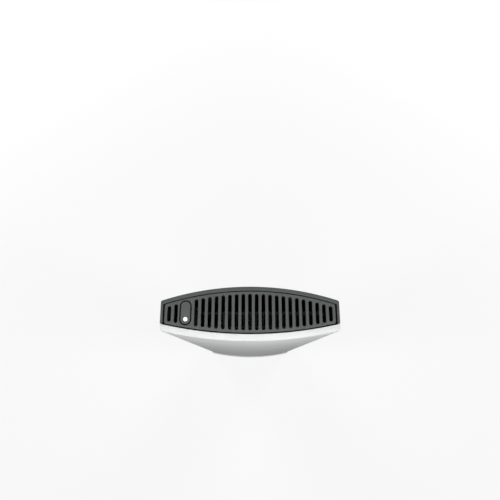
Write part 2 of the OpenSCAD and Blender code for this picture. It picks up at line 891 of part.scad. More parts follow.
// Processor package with its bare dies
module processor() {
  die_t = 0.5;
  color("#2c5e3e") {
    slab(board_rear, cpu_t - die_t) translate([cpu_x, cpu_z]) round_rect(cpu_w, cpu_h, 0.6);
    slab(board_rear - cpu_t + die_t, die_t) translate([cpu_x - 5, cpu_z]) square([17, 9], center = true);
    slab(board_rear - cpu_t + die_t, die_t) translate([cpu_x + 11, cpu_z]) square([9, 9], center = true);
  }
}

// Controller chips and connectors on the rear face of the board
module board_chips() {
  mouth = 1;
  plug_z = b0 + board_h - fan_plug_down;
  color("#202123") {
    slab(board_rear, chip_t) {
      for (u = side_chip_ups) translate([board_hw - side_chip_in, b0 + u])
        square([side_chip_w, side_chip_h], center = true);
      for (x = usb_a_xs) translate([x, b0 + port_chip_up]) square([port_chip_w, port_chip_h], center = true);
      translate([cpu_x - hub_chip_left, b0 + hub_chip_up]) square(hub_chip_w, center = true);
      translate([cpu_x + clock_chip_right, b0 + hub_chip_up])
        square([clock_chip_w, clock_chip_h], center = true);
    }
    difference() {
      slab(board_rear, plug_t) {
        translate([button_x, b0 + board_h - ribbon_plug_down]) square([ribbon_w + 2, plug_h], center = true);
        translate([fan_x, plug_z]) square([fan_plug_w, plug_h], center = true);
      }
      block([button_x - ribbon_w / 2 - 0.2, board_rear - 1.4, b0 + board_h - ribbon_plug_down + 0.8],
        [button_x + ribbon_w / 2 + 0.2, board_rear - 0.6, b0 + board_h]);
      block([fan_x - fan_plug_mouth / 2, board_rear - 1 - mouth / 2, plug_z - 0.2],
        [fan_x + fan_plug_mouth / 2, board_rear - 1 + mouth / 2, b0 + board_h]);
    }
  }
}

// Chokes of the processor's supply, in a row above it
module power_chokes() {
  color("#4a4b4e")
  for (i = [0 : choke_n - 1]) slab(board_rear, choke_t)
    translate([cpu_x - choke_left + i * choke_pitch, b0 + choke_up]) round_rect(choke_w, choke_w, choke_r);
}

// Copper plate on the processor
module cold_plate() {
  color("#b87348")
  slab(board_rear - cpu_t, cold_t) translate([cpu_x, cpu_z]) round_rect(cold_w, cold_h, 2);
}

// Spring bracket that presses the pipes and the plate on the processor
module cooler_bracket() {
  y = cold_rear - heat_pipe_t;
  color("#a8abae") {
    difference() {
      slab(y, clamp_t) {
        translate([cpu_x, cpu_z]) round_rect(cold_w / 2, 2 * clamp_post_z - 4, 2);
        for (s = [-1, 1]) translate([cpu_x + s * clamp_dx / 2, cpu_z + s * clamp_post_z - s * 2])
          round_rect(clamp_dx + clamp_w, clamp_w, 2);
      }
      for (s = [-1, 1]) bar_y(cpu_x + s * clamp_dx, cpu_z + s * clamp_post_z, y - clamp_t - 1, y + 1,
        m2_d + screw_clear);
    }
  }
}

// Screws and their spacers that draw the bracket to the board
module cooler_screws() {
  y = cold_rear - heat_pipe_t;
  color("#8c8f92")
  for (s = [-1, 1]) {
    bar_y(cpu_x + s * clamp_dx, cpu_z + s * clamp_post_z, y, board_rear, m2_head_d);
    bar_y(cpu_x + s * clamp_dx, cpu_z + s * clamp_post_z, y - clamp_t - m2_head_h + 0.4, y - clamp_t,
      m2_head_d);
    bar_y(cpu_x + s * clamp_dx, cpu_z + s * clamp_post_z, y - clamp_t - eps, board_front - 0.6, m2_d);
  }
}

// Two flat heat pipes from the cold plate, past the fan, into the fins
module heat_pipes() {
  color("#222326")
  for (k = [0, 1]) {
    r = bend_in + k * pipe_step;
    z_low = low_bend_z - r;
    z_high = high_bend_z + r;
    flat_pipe([bend_x, z_low], [pipe_x1, z_low]);
    flat_pipe([bend_x - r, low_bend_z], [bend_x - r, high_bend_z]);
    flat_pipe([bend_x, z_high], [fin_x1 + 1, z_high]);
    pipe_bend(bend_x, low_bend_z, r, 180);
    pipe_bend(bend_x, high_bend_z, r, 90);
  }
}

// Section of a flat heat pipe: thin in the first direction, wide in the second
module pipe_section() {
  square([heat_pipe_t, heat_pipe_w - heat_pipe_t], center = true);
  for (s = [-1, 1]) translate([0, s * (heat_pipe_w - heat_pipe_t) / 2]) circle(heat_pipe_t / 2, $fn = 24);
}

// Straight run of flat heat pipe between two points in X and Z
module flat_pipe(p, q) {
  y = cold_rear - heat_pipe_t / 2;
  if (p[1] == q[1])
    translate([p[0], y, p[1]]) rotate([90, 0, 90]) linear_extrude(q[0] - p[0]) pipe_section();
  else
    translate([p[0], y, p[1]]) linear_extrude(q[1] - p[1]) rotate([0, 0, 90]) pipe_section();
}

// Quarter turn of flat heat pipe in the plane of X and Z
module pipe_bend(x, z, r, start) {
  y = cold_rear - heat_pipe_t / 2;
  translate([x, y, z]) rotate([90, 0, 0]) rotate([0, 0, start]) rotate_extrude(angle = 90, $fn = 96)
    translate([r, 0]) rotate([0, 0, 90]) pipe_section();
}

// Row of thin fins on a base sheet, notched for the heat pipes
module fin_stack() {
  n = floor((fin_x1 - fin_x0) / fin_pitch);
  color("#3a3c3e") {
    block([fin_x0 - 0.5, tray_rear - fin_base_t, fin_z - fin_h / 2],
      [fin_x1 + 0.5, tray_rear, fin_z + fin_h / 2]);
    for (i = [0 : n]) strip(fin_x0 + i * fin_pitch, fin_t) difference() {
      translate([fin_rear, fin_z - fin_h / 2]) square([tray_rear - eps - fin_rear, fin_h]);
      for (s = [-1, 1])
        translate([fin_rear - 1, fin_z + s * pipe_step / 2 - heat_pipe_w / 2 - 0.05])
          square([cold_rear - fin_rear + 1, heat_pipe_w + 0.1]);
    }
  }
}

// Foam frame that leads the warm air from the fins to the slots
module exhaust_gasket() {
  foam = 1.4;
  z0 = fin_z + fin_h / 2;
  color("#1a1b1c")
  translate([0, 0, z0]) linear_extrude(grille_z - z0) intersection() {
    difference() {
      gasket_outline(0);
      gasket_outline(foam);
    }
    translate([-big / 2, -big / 2]) square([big, big]);
  }
}

// Outline of the foam frame: it follows the rear edge of the grille
module gasket_outline(inset) {
  intersection() {
    rear_half(rim_w + grille_gap + 0.8 + inset, hw, corner_r);
    translate([fin_x0 + inset, -big / 2]) square([fin_x1 - fin_x0 - 2 * inset, big / 2 + tray_front - inset]);
  }
}

// Outline of the blower: a round chamber with a wide mouth on top
module fan_outline(inset) {
  translate([fan_x, fan_z]) circle(fan_r - inset, $fn = 120);
  translate([fan_x - fan_r + 2 + inset, fan_z])
    square([2 * fan_r - 2 - 2 * inset, fan_top - fan_z]);
}

// Blower housing: base, side wall, screw ears and the bearing sleeve
module fan_housing() {
  color("#26282a") {
    difference() {
      slab(tray_rear, fan_d) fan_outline(0);
      slab(tray_rear - fan_base_t, fan_d) {
        fan_outline(fan_wall);
        translate([fan_x - fan_r + 2 + fan_wall, fan_z])
          square([2 * fan_r - 2 - 2 * fan_wall, fan_top - fan_z + 1]);
      }
    }
    difference() {
      slab(tray_rear, 2) for (e = fan_ears) translate(e) circle(fan_ear_r);
      slab(tray_rear + 1, 4) fan_outline(fan_wall / 2);
      for (e = fan_ears) bar_y(e[0], e[1], tray_rear - 4, tray_rear + 1, m2_d + screw_clear);
    }
    difference() {
      bar_y(fan_x, fan_z, tray_rear - fan_base_t - 3, tray_rear - fan_base_t + eps, 2 * sleeve_r);
      bar_y(fan_x, fan_z, tray_rear - fan_d, tray_rear - fan_base_t, shaft_d + 2 * shaft_gap);
    }
  }
}

// Lid of the blower with the round air inlet
module fan_cover() {
  color("#313335")
  slab(fan_rear, fan_cover_t) difference() {
    fan_outline(0);
    translate([fan_x, fan_z]) circle(fan_inlet_r, $fn = 120);
  }
}

// Impeller: hub cup, shaft and a ring of curved blades
module fan_impeller() {
  y1 = tray_rear - fan_base_t - fan_gap;
  y0 = fan_rear + fan_gap;
  lid = 1.2;
  color("#1f2123") {
    difference() {
      bar_y(fan_x, fan_z, y0, y1, 2 * hub_r);
      bar_y(fan_x, fan_z, y0 + lid, y1 + 1, 2 * (hub_r - hub_wall));
    }
    bar_y(fan_x, fan_z, y0 + eps, y1, shaft_d);
    slab(y1, y1 - y0) translate([fan_x, fan_z]) for (i = [0 : blade_n - 1])
      rotate([0, 0, i * 360 / blade_n]) blade();
  }
}

// Outline of one backward-curved blade
module blade() {
  start = hub_r - hub_wall / 2;
  intersection() {
    difference() {
      translate([start, blade_arc]) circle(blade_arc + blade_t / 2, $fn = 120);
      translate([start, blade_arc]) circle(blade_arc - blade_t / 2, $fn = 120);
      circle(start, $fn = 96);
    }
    circle(impeller_r, $fn = 120);
    translate([start - 2, -2]) square([impeller_r, impeller_r]);
  }
}

// Motor coils round the bearing sleeve
module fan_stator() {
  y1 = tray_rear - fan_base_t;
  color("#8a5a35")
  difference() {
    bar_y(fan_x, fan_z, y1 - 2.6, y1, 2 * stator_r);
    bar_y(fan_x, fan_z, y1 - 4, y1 + 1, 2 * sleeve_r);
    for (i = [0 : 5]) rotate_about_fan(i * 60) translate([fan_x + 6.2, y1 - 1.6, fan_z])
      cube([6, 2.4, 1.2], center = true);
  }
}

// Turn about the axis of the fan
module rotate_about_fan(a) {
  translate([fan_x, 0, fan_z]) rotate([0, a, 0]) translate([-fan_x, 0, -fan_z]) children();
}

// Screws in the ears of the blower
module fan_screws() {
  color("#8c8f92")
  for (e = fan_ears) {
    bar_y(e[0], e[1], tray_rear - 2 - m2_head_h, tray_rear - 2, m2_head_d);
    bar_y(e[0], e[1], tray_rear - 2 - eps, tray_rear - 0.05, m2_d);
  }
}

// Lead from the blower to its connector on the board
module fan_cable() {
  color("#2a2a2c")
  for (i = [-1.5 : 1 : 1.5]) translate([fan_x + i * 1.1, 0, 0]) lead([
    [0, board_rear - 1, b0 + board_h - fan_plug_down],
    [0, board_rear - 1, b0 + board_h + 0.6],
    [0, tray_rear - 3, fan_z - fan_r - 0.1]
  ], 0.8);
}

// Sockets of both memory modules, each with two side arms
module memory_sockets() {
  arm = 0.7;
  color("#1b1c1e")
  for (z = mem_zs) difference() {
    union() {
      slab(board_rear, mem_socket_t) translate([mem_x, z + mem_socket_h / 2])
        square([mem_socket_w, mem_socket_h], center = true);
      for (s = [-1, 1]) slab(board_rear, mem_socket_t - 0.6)
        translate([mem_x + s * (mem_socket_w / 2 - arm / 2), z + mem_h / 2])
          square([arm, mem_h], center = true);
    }
    translate([mem_x, board_rear - mem_lift - mem_t / 2, z + mem_socket_h + (mem_h - mem_insert) / 2])
      cube([mem_w + 2 * mem_play, mem_t + mem_play, mem_h + mem_insert + 2 * mem_play], center = true);
  }
}

// One memory module: a narrow board with chips on both faces
module memory_module(z) {
  y1 = board_rear - mem_lift;
  z0 = z + mem_socket_h - mem_insert;
  chip = 0.9;
  color("#1f5a34") {
    slab(y1, mem_t) translate([mem_x, z0 + mem_h / 2]) square([mem_w, mem_h], center = true);
    slab(y1 + chip, 2 * chip + mem_t) for (i = [-1.5 : 1 : 1.5])
      translate([mem_x + i * 15, z0 + 18]) square([10, 12], center = true);
  }
}

module lower_memory_module() {
  memory_module(mem_zs[0]);
}

module upper_memory_module() {
  memory_module(mem_zs[1]);
}

// Socket of the solid-state drive card
module ssd_socket() {
  color("#1b1c1e")
  difference() {
    slab(board_rear, socket_t) translate([ssd_x0 - socket_l / 2 + socket_insert, ssd_z])
      square([socket_l, card_w], center = true);
    block([ssd_x0 - 0.1, board_rear - card_lift - card_t - 0.05, ssd_z - card_w / 2 - 1],
      [ssd_x0 + ssd_l, board_rear - card_lift + 0.05, ssd_z + card_w / 2 + 1]);
  }
}

// Solid-state drive card with its chips and the half-round screw notch
module ssd_card() {
  y1 = board_rear - card_lift;
  color("#17402a") {
    slab(y1, card_t) difference() {
      translate([ssd_x0 + ssd_l / 2, ssd_z]) square([ssd_l, card_w], center = true);
      translate([ssd_x0 + ssd_l, ssd_z]) circle(d = card_seat_d - 1);
    }
    slab(y1 - card_t + eps, 1.2) {
      translate([ssd_x0 + 16, ssd_z]) square([12, 14], center = true);
      translate([ssd_x0 + 36, ssd_z]) square([14, 18], center = true);
      translate([ssd_x0 + 58, ssd_z]) square([14, 18], center = true);
    }
  }
}

// Socket of the wireless card
module wifi_socket() {
  color("#1b1c1e")
  difference() {
    slab(board_rear, socket_t) translate([wifi_x, wifi_z0 - socket_l / 2 + socket_insert])
      square([card_w, socket_l], center = true);
    block([wifi_x - card_w / 2 - 1, board_rear - card_lift - card_t - 0.05, wifi_z0 - 0.1],
      [wifi_x + card_w / 2 + 1, board_rear - card_lift + 0.05, wifi_z0 + wifi_l]);
  }
}

// Wireless card under its metal shield
module wifi_card() {
  y1 = board_rear - card_lift;
  color("#2b2d30") {
    slab(y1, card_t) difference() {
      translate([wifi_x, wifi_z0 + wifi_l / 2]) square([card_w, wifi_l], center = true);
      translate([wifi_x, wifi_z0 + wifi_l]) circle(d = card_seat_d - 1);
    }
    slab(y1 - card_t + eps, 1.3) translate([wifi_x, wifi_z0 + 14]) round_rect(18, 17, 1);
    for (s = [-1, 1]) slab(y1 - card_t + eps, 0.8) translate([wifi_x + s * 7, wifi_z0 + 26]) circle(d = 2.2);
  }
}

// Seats and screws that hold both cards
module card_screws() {
  y1 = board_rear - card_lift;
  color("#8c8f92")
  for (p = [[ssd_x0 + ssd_l, ssd_z], [wifi_x, wifi_z0 + wifi_l]]) {
    bar_y(p[0], p[1], y1, board_rear, card_seat_d);
    bar_y(p[0], p[1], y1 - card_t - eps, y1 + eps, m2_d);
    bar_y(p[0], p[1], y1 - card_t - 0.8, y1 - card_t, m2_head_d);
  }
}

// Flat antennas on the inside of both end walls
module antennas() {
  color("#8f6a3a")
  for (s = [-1, 1]) {
    x0 = s > 0 ? inner_hw - antenna_t : -inner_hw;
    block([x0, -antenna_w / 2, antenna_z0], [x0 + antenna_t, antenna_w / 2, antenna_z0 + antenna_l]);
  }
}

// Thin leads from the wireless card to both antennas
module antenna_leads() {
  y_plug = board_rear - card_lift - card_t - 1.3;
  z_plug = wifi_z0 + 26;
  x_wall = inner_hw - antenna_t - lead_d / 2;
  y_wall = -1;
  z_edge = b0 + board_h + 1.5;
  color("#18191a") {
    lead([
      [wifi_x + 7, y_plug, z_plug],
      [wifi_x + 11, y_plug, z_plug + 4],
      [board_hw + 0.5, y_plug + 1, z_plug + 12],
      [x_wall, y_wall, antenna_z0 - 10],
      [x_wall, y_wall, antenna_z0 + 4]
    ], lead_d);
    lead([
      [wifi_x - 7, y_plug, z_plug],
      [coin_x - 12, y_plug, coin_z - 12],
      [coin_x - 12, y_plug, z_edge - 1],
      [coin_x - 13, y_plug, z_edge],
      [coin_x - 17, y_wall, z_edge],
      [2 - board_hw, y_wall, z_edge],
      [-x_wall, y_wall, antenna_z0 - 6],
      [-x_wall, y_wall, antenna_z0 + 4]
    ], lead_d);
  }
}

// Holder of the coin cell
module coin_holder() {
  color("#1b1c1e")
  difference() {
    slab(board_rear, 2.4) translate([coin_x, coin_z]) round_rect(coin_d + 2, coin_d + 2, 3);
    bar_y(coin_x, coin_z, board_rear - 4, board_rear - 0.6, coin_d + 0.2);
  }
}

// Coin cell that keeps the clock running
module coin_cell() {
  color("#c8cacc")
  bar_y(coin_x, coin_z, board_rear - 0.6 - coin_t, board_rear - 0.6, coin_d);
}

// 2.5-inch drive on the front side of the tray
module storage_drive() {
  color("#b4b7ba")
  difference() {
    slab(tray_front + drive_t, drive_t) translate([0, drive_z0 + drive_l / 2])
      round_rect(drive_w, drive_l, 2);
    for (sx = [-1, 1], z = drive_screw_zs)
      bar_y(sx * drive_screw_x, z, tray_front - 1, tray_front + 3, m3_pilot_d);
    block([-drive_plug_w / 2 - 6, drive_plug_y - drive_plug_t / 2 - part_gap, drive_z0 + drive_l - 3],
      [drive_plug_w / 2 + 6, drive_plug_y + drive_plug_t / 2 + part_gap, drive_z0 + drive_l + 1]);
  }
}

// Screws that hold the drive on the tray
module drive_screws() {
  color("#8c8f92")
  for (sx = [-1, 1], z = drive_screw_zs) {
    bar_y(sx * drive_screw_x, z, tray_rear - m3_head_h, tray_rear, m3_head_d);
    bar_y(sx * drive_screw_x, z, tray_rear - eps, tray_front + 2.5, m3_pilot_d);
  }
}

// Flat cable from the drive through the tray to the board
module drive_cable() {
  z_plug = drive_z0 + drive_l;
  y_board = board_front + 1.2;
  half = drive_plug_w / 2;
  color("#2a2a2c") {
    strip(-drive_cable_w / 2, drive_cable_w) ribbon([
      [drive_plug_y, z_plug - drive_plug_out],
      [drive_plug_y, z_plug + 6],
      [y_board, drive_cable_z + 2],
      [y_board, drive_cable_z + 8]
    ], drive_cable_t);
    block([-half, drive_plug_y - drive_plug_t / 2, z_plug - drive_plug_sunk],
      [half, drive_plug_y + drive_plug_t / 2, z_plug + drive_plug_out]);
    block([-half, board_front, drive_cable_z + 6], [half, board_front + 1.6, drive_cable_z + 10]);
  }
}

// Sheet panel over the cable bay, with a hole for each port and air slots
module port_panel() {
  color("#3c3e40")
  translate([0, 0, io_z]) linear_extrude(panel_t) difference() {
    lens(shell_wall + panel_gap, cover_wall + panel_gap + 0.2, inner_hw - panel_gap, corner_r);
    port_hole(lan_x, lan_w, lan_front, lan_t);
    for (x = usb_a_xs) port_hole(x, usb_a_w, board_rear, usb_a_t);
    port_hole(usb_c_x, usb_c_w, board_rear, usb_c_t);
    port_hole(audio_x, audio_w, board_rear, audio_t);
    port_hole(inlet_x, inlet_w, board_rear, inlet_t);
    for (i = [-6 : 6]) translate([i * 5, 4.5]) oblong(2.4, 7);
    for (s = [-1, 1]) translate([s * panel_screw_x, panel_screw_y]) circle(d = m2_d + screw_clear);
  }
}

// Outline of one port hole: it opens backwards from the given depth
module port_hole(x, w, y_front, t) {
  translate([x - w / 2 - port_clear, y_front - t - port_clear])
    square([w + 2 * port_clear, t + 2 * port_clear]);
}

// Screws that hold the port panel on its ledges
module port_panel_screws() {
  color("#8c8f92")
  for (s = [-1, 1]) translate([s * panel_screw_x, panel_screw_y, io_z + panel_t]) {
    cylinder(h = m2_head_h, d = m2_head_d);
    translate([0, 0, -panel_t - ledge_h + 0.4]) cylinder(h = panel_t + ledge_h - 0.4 + eps, d = m2_d);
  }
}

// Network jack, sunk into the notch of the board
module network_jack() {
  color("#a7aaad")
  difference() {
    block([lan_x - lan_w / 2, lan_front - lan_t, io_z], [lan_x + lan_w / 2, lan_front, io_z + lan_l]);
    block([lan_x - lan_plug_w / 2, lan_front - lan_t + lan_wall, io_z - 1],
      [lan_x + lan_plug_w / 2, lan_front - lan_t + lan_wall + lan_plug_t, io_z + lan_depth]);
    block([lan_x - lan_latch_w / 2, lan_front - lan_t + lan_plug_t, io_z - 1],
      [lan_x + lan_latch_w / 2, lan_front - lan_t + lan_plug_t + lan_latch_t - 0.2, io_z + lan_depth]);
  }
}

// Both USB type A sockets, each with its tongue
module usb_a_ports() {
  color("#b4b7ba")
  for (x = usb_a_xs) {
    difference() {
      block([x - usb_a_w / 2, board_rear - usb_a_t, io_z], [x + usb_a_w / 2, board_rear, io_z + usb_a_l]);
      block([x - usb_a_w / 2 + 0.7, board_rear - usb_a_t + 0.7, io_z - 1],
        [x + usb_a_w / 2 - 0.7, board_rear - 0.7, io_z + usb_a_l - 2]);
    }
    block([x - 5.3, board_rear - 2.8, io_z + 1], [x + 5.3, board_rear - 1.2, io_z + usb_a_l - 1]);
  }
}

// USB type C socket with its tongue
module usb_c_port() {
  color("#b4b7ba") {
    difference() {
      block([usb_c_x - usb_c_w / 2, board_rear - usb_c_t, io_z],
        [usb_c_x + usb_c_w / 2, board_rear, io_z + usb_c_l]);
      translate([usb_c_x, board_rear - usb_c_t / 2, io_z - 1]) linear_extrude(usb_c_l - 0.5)
        rotate([0, 0, 90]) oblong(usb_c_t - 0.7, usb_c_w - 0.7);
    }
    block([usb_c_x - 3.2, board_rear - usb_c_t / 2 - 0.35, io_z + 0.8],
      [usb_c_x + 3.2, board_rear - usb_c_t / 2 + 0.35, io_z + usb_c_l - 1]);
  }
}

// Audio jack
module audio_jack() {
  color("#1b1c1e")
  difference() {
    block([audio_x - audio_w / 2, board_rear - audio_t, io_z],
      [audio_x + audio_w / 2, board_rear, io_z + audio_l]);
    translate([audio_x, board_rear - audio_t / 2, io_z - 1]) cylinder(h = audio_l, d = audio_bore);
  }
}

// Power inlet with its centre pin
module power_inlet() {
  color("#1b1c1e") {
    difference() {
      block([inlet_x - inlet_w / 2, board_rear - inlet_t, io_z],
        [inlet_x + inlet_w / 2, board_rear, io_z + inlet_l]);
      translate([inlet_x, board_rear - inlet_t / 2, io_z - 1]) cylinder(h = inlet_l - 1, d = inlet_bore);
    }
    translate([inlet_x, board_rear - inlet_t / 2, io_z + 1]) cylinder(h = inlet_l - 2, d = inlet_pin);
  }
}

front_shell();
rear_cover();
top_grille();
foot_plate();
foot_pads();
foot_screws();
arm_inserts();
power_button();
light_pipe();
power_switch();
switch_plunger();
power_light();
button_board();
button_board_screws();
button_cable();
chassis_tray();
tray_screws();
system_board();
board_standoffs();
board_screws();
processor();
board_chips();
power_chokes();
cold_plate();
cooler_bracket();
cooler_screws();
heat_pipes();
fin_stack();
exhaust_gasket();
fan_housing();
fan_cover();
fan_impeller();
fan_stator();
fan_screws();
fan_cable();
memory_sockets();
lower_memory_module();
upper_memory_module();
ssd_socket();
ssd_card();
wifi_socket();
wifi_card();
card_screws();
antennas();
antenna_leads();
coin_holder();
coin_cell();
storage_drive();
drive_screws();
drive_cable();
port_panel();
port_panel_screws();
network_jack();
usb_a_ports();
usb_c_port();
audio_jack();
power_inlet();
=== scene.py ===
import math

import bmesh
import bpy
import numpy as np
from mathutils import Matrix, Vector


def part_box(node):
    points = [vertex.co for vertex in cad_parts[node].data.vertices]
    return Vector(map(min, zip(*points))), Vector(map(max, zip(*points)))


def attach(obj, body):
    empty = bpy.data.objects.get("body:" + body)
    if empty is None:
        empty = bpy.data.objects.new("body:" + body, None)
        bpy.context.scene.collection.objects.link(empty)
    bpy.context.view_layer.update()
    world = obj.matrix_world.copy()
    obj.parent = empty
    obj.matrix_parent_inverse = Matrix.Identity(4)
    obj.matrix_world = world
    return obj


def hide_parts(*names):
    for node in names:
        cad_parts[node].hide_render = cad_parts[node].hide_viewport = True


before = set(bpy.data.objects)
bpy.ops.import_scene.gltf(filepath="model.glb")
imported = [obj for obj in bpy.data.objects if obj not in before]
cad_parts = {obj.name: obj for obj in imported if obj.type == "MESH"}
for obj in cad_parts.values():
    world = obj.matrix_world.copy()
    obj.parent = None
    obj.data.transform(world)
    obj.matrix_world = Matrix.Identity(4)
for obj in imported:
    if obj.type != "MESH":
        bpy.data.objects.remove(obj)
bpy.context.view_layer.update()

# Foot plate
# A cut steel plate in silver-white lacquer, screwed to the column from below. It has the column's
# lens shape in plan, two arcs cut off by flat ends, and stands out past the body as a thin lip.
half_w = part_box("front_shell")[1].x
front_crown = 0.0081
rear_crown = 0.0056
front_r = (half_w**2 + front_crown**2) / (2 * front_crown)
rear_r = (half_w**2 + rear_crown**2) / (2 * rear_crown)
front_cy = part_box("front_shell")[1].y - front_r
rear_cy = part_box("rear_cover")[0].y + rear_r
foot_low, foot_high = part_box("foot_plate")
foot_lip = foot_high.x - half_w
foot_corner = 0.0014 + foot_lip
foot_ease = 0.0005
foot_screw_x = 0.0442
foot_hole_r = 0.00295


def lens_edge(front_inset, rear_inset, half, corner):
    """Points and outward normals of a lens's two edges at columns x: on the arcs or, past the tangents,
    on the rounds that join them to the flat ends.
    """
    inner = half - corner

    def edge(x, radius, centre, sign):
        middle = centre + sign * math.sqrt((radius - corner) ** 2 - inner**2)
        rounded = np.abs(x) > inner * radius / (radius - corner)
        from_x = np.where(rounded, np.sign(x) * inner, 0.0)
        from_y = np.where(rounded, middle, centre)
        reach = np.where(rounded, corner, radius)
        normal_x = (x - from_x) / reach
        normal_y = sign * np.sqrt(np.clip(1 - normal_x**2, 0, None))
        return np.stack([x, from_y + reach * normal_y], 1), np.stack([normal_x, normal_y], 1)

    def both_edges(x):
        return (*edge(x, rear_r - rear_inset, rear_cy, -1), *edge(x, front_r - front_inset, front_cy, 1))

    return both_edges


def lens_columns(half, corner, steps=61):
    """Columns for a lens: even along the arcs, and even in angle round the corners."""
    sweep = np.linspace(0, 1.3, 10)
    bend = half - corner + corner * np.cos(sweep)
    return np.concatenate([-bend, np.linspace(corner - half, half - corner, steps), bend])


def quads_of(rows, columns, closed=False):
    """Quads of a grid whose point (i, j) has the number i * columns + j."""
    i = np.arange(rows - 1)[:, None]
    j = np.arange(columns if closed else columns - 1)[None, :]
    k = (j + 1) % columns
    ring = np.broadcast_arrays(i * columns + j, i * columns + k, (i + 1) * columns + k, (i + 1) * columns + j)
    return np.stack(ring, -1).reshape(-1, 4)


def eased_plate(columns, edge, lanes, ease, depth):
    """Closed plate under z = 0 with round-ended openings, all its edges quarter rounds of radius ease.

    The face is a grid of columns. Each runs from the low to the high edge and stops at the opening that
    it meets in each lane: y ± (length - width + root of (width² - dx²)), with half widths and lengths.
    Rims are the outlines, moved by the quarter round's offset.
    """
    turn = np.linspace(-math.pi / 2, math.pi / 2, 13)
    bend = np.linspace(0, math.pi / 2, 5)
    least_gap = 2e-5
    holes = [hole for lane in lanes for hole in lane]
    inside = [np.abs(columns - c) < w + ease + least_gap for c, _, w, _ in holes]
    free = ~np.any([columns != columns, *inside], 0)
    cuts = [c + (w + ease) * np.sin(turn) for c, _, w, _ in holes]
    x = np.unique(np.round(np.concatenate([columns[free], *cuts]), 8))
    low, low_n, high, high_n = edge(x)
    inner_x = np.clip(x, x[0] + ease, x[-1] - ease)
    middle = (x[1:] + x[:-1]) / 2
    rows = [low - ease * low_n]
    solid = np.ones((2 * len(lanes) + 1, len(middle)), bool)
    for k, lane in enumerate(lanes):
        at = np.concatenate([c + (w + ease) * np.sin(turn) for c, _, w, _ in lane])
        reach = np.concatenate([le - w + (w + ease) * np.cos(turn) for _, _, w, le in lane])
        mid = np.concatenate([np.full(len(turn), y) for _, y, _, _ in lane])
        rows += [np.stack([inner_x, np.interp(x, at, mid - reach)], 1),
                 np.stack([inner_x, np.interp(x, at, mid + reach)], 1)]
        for c, _, w, _ in lane:
            solid[2 * k + 1] &= np.abs(middle - c) > w + ease
    rows.append(high - ease * high_n)
    sheet = np.concatenate(rows)
    faces = quads_of(len(rows), len(x))[solid.ravel()]
    sink = np.full((len(sheet), 1), -depth)
    parts = [(np.hstack([sheet, 0 * sink]), faces), (np.hstack([sheet, sink]), faces)]
    offset = ease * np.concatenate([np.sin(bend) - 1, np.cos(bend) - 1])
    z = np.concatenate([ease * (np.cos(bend) - 1), ease - depth - ease * np.sin(bend)])
    right = np.array([row[-1] + (ease, 0) for row in rows[1:-1]]).reshape(-1, 2)
    left = np.array([row[0] - (ease, 0) for row in rows[-2:0:-1]]).reshape(-1, 2)
    rim = np.concatenate([low, right, high[::-1], left])
    rim_n = np.concatenate([
        low_n, np.tile((1.0, 0.0), (len(right), 1)), high_n[::-1], np.tile((-1.0, 0.0), (len(left), 1))])
    outlines = [rim[None] + offset[:, None, None] * rim_n[None]]
    for c, y, w, le in holes:
        wide = (w - offset)[:, None]
        near = np.stack([c + wide * np.sin(turn), y - (le - w) - wide * np.cos(turn)], -1)
        far = np.stack([c + wide * np.sin(turn[::-1]), y + (le - w) + wide * np.cos(turn[::-1])], -1)
        outlines.append(np.concatenate([near, far], 1))
    for line in outlines:
        height = np.broadcast_to(z[:, None, None], (*line.shape[:2], 1))
        points = np.concatenate([line, height], -1).reshape(-1, 3)
        parts.append((points, quads_of(*line.shape[:2], closed=True)))
    return parts


def moved(parts, shift=(0, 0, 0), turn=np.eye(3)):
    """The same parts, turned and then shifted."""
    return [(np.asarray(points) @ np.asarray(turn, float).T + shift, faces) for points, faces in parts]


def make_piece(name, parts, material, body, slot, *nodes, crease=35.0, shaded_faces=None):
    """One object from parts (points, faces): seams closed, faces outwards, smooth up to crease degrees.

    A (material, test) pair as its last argument gives the faces that show painted shade their second
    material: test takes their centres.
    """
    points, faces, start = [], [], 0
    for part_points, part_faces in parts:
        points.append(part_points)
        faces += [[start + int(v) for v in face] for face in part_faces]
        start += len(part_points)
    mesh = bpy.data.meshes.new(name)
    mesh.from_pydata(np.concatenate(points).tolist(), [], faces)
    seam = 2e-6
    work = bmesh.new()
    work.from_mesh(mesh)
    bmesh.ops.remove_doubles(work, verts=work.verts, dist=seam)
    bmesh.ops.dissolve_degenerate(work, edges=work.edges, dist=seam / 2)
    bmesh.ops.recalc_face_normals(work, faces=work.faces)
    work.to_mesh(mesh)
    work.free()
    mesh.shade_smooth()
    mesh.set_sharp_from_angle(angle=math.radians(crease))
    mesh.materials.append(material)
    # Painted shade: the faces that the test picks take the dark second material.
    if shaded_faces:
        mesh.materials.append(shaded_faces[0])
        centres = np.empty(3 * len(mesh.polygons))
        mesh.polygons.foreach_get("center", centres)
        mesh.polygons.foreach_set("material_index", shaded_faces[1](centres.reshape(-1, 3)).astype(np.int32))
    piece = bpy.data.objects.new(name, mesh)
    bpy.context.scene.collection.objects.link(piece)
    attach(piece, body)
    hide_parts(*nodes)


def linear(colour):
    """Linear RGBA of an sRGB hex colour."""
    share = np.array([int(colour[i:i + 2], 16) for i in (1, 3, 5)]) / 255
    value = np.where(share <= 0.04045, share / 12.92, ((share + 0.055) / 1.055) ** 2.4)
    return (*value.tolist(), 1.0)


def fill(material, node, inputs):
    """Each input takes a value, an output that feeds it, or a node whose first output feeds it."""
    for key, value in inputs.items():
        if isinstance(value, bpy.types.Node):
            value = value.outputs[0]
        if isinstance(value, bpy.types.NodeSocket):
            material.node_tree.links.new(value, node.inputs[key])
        else:
            node.inputs[key].default_value = value


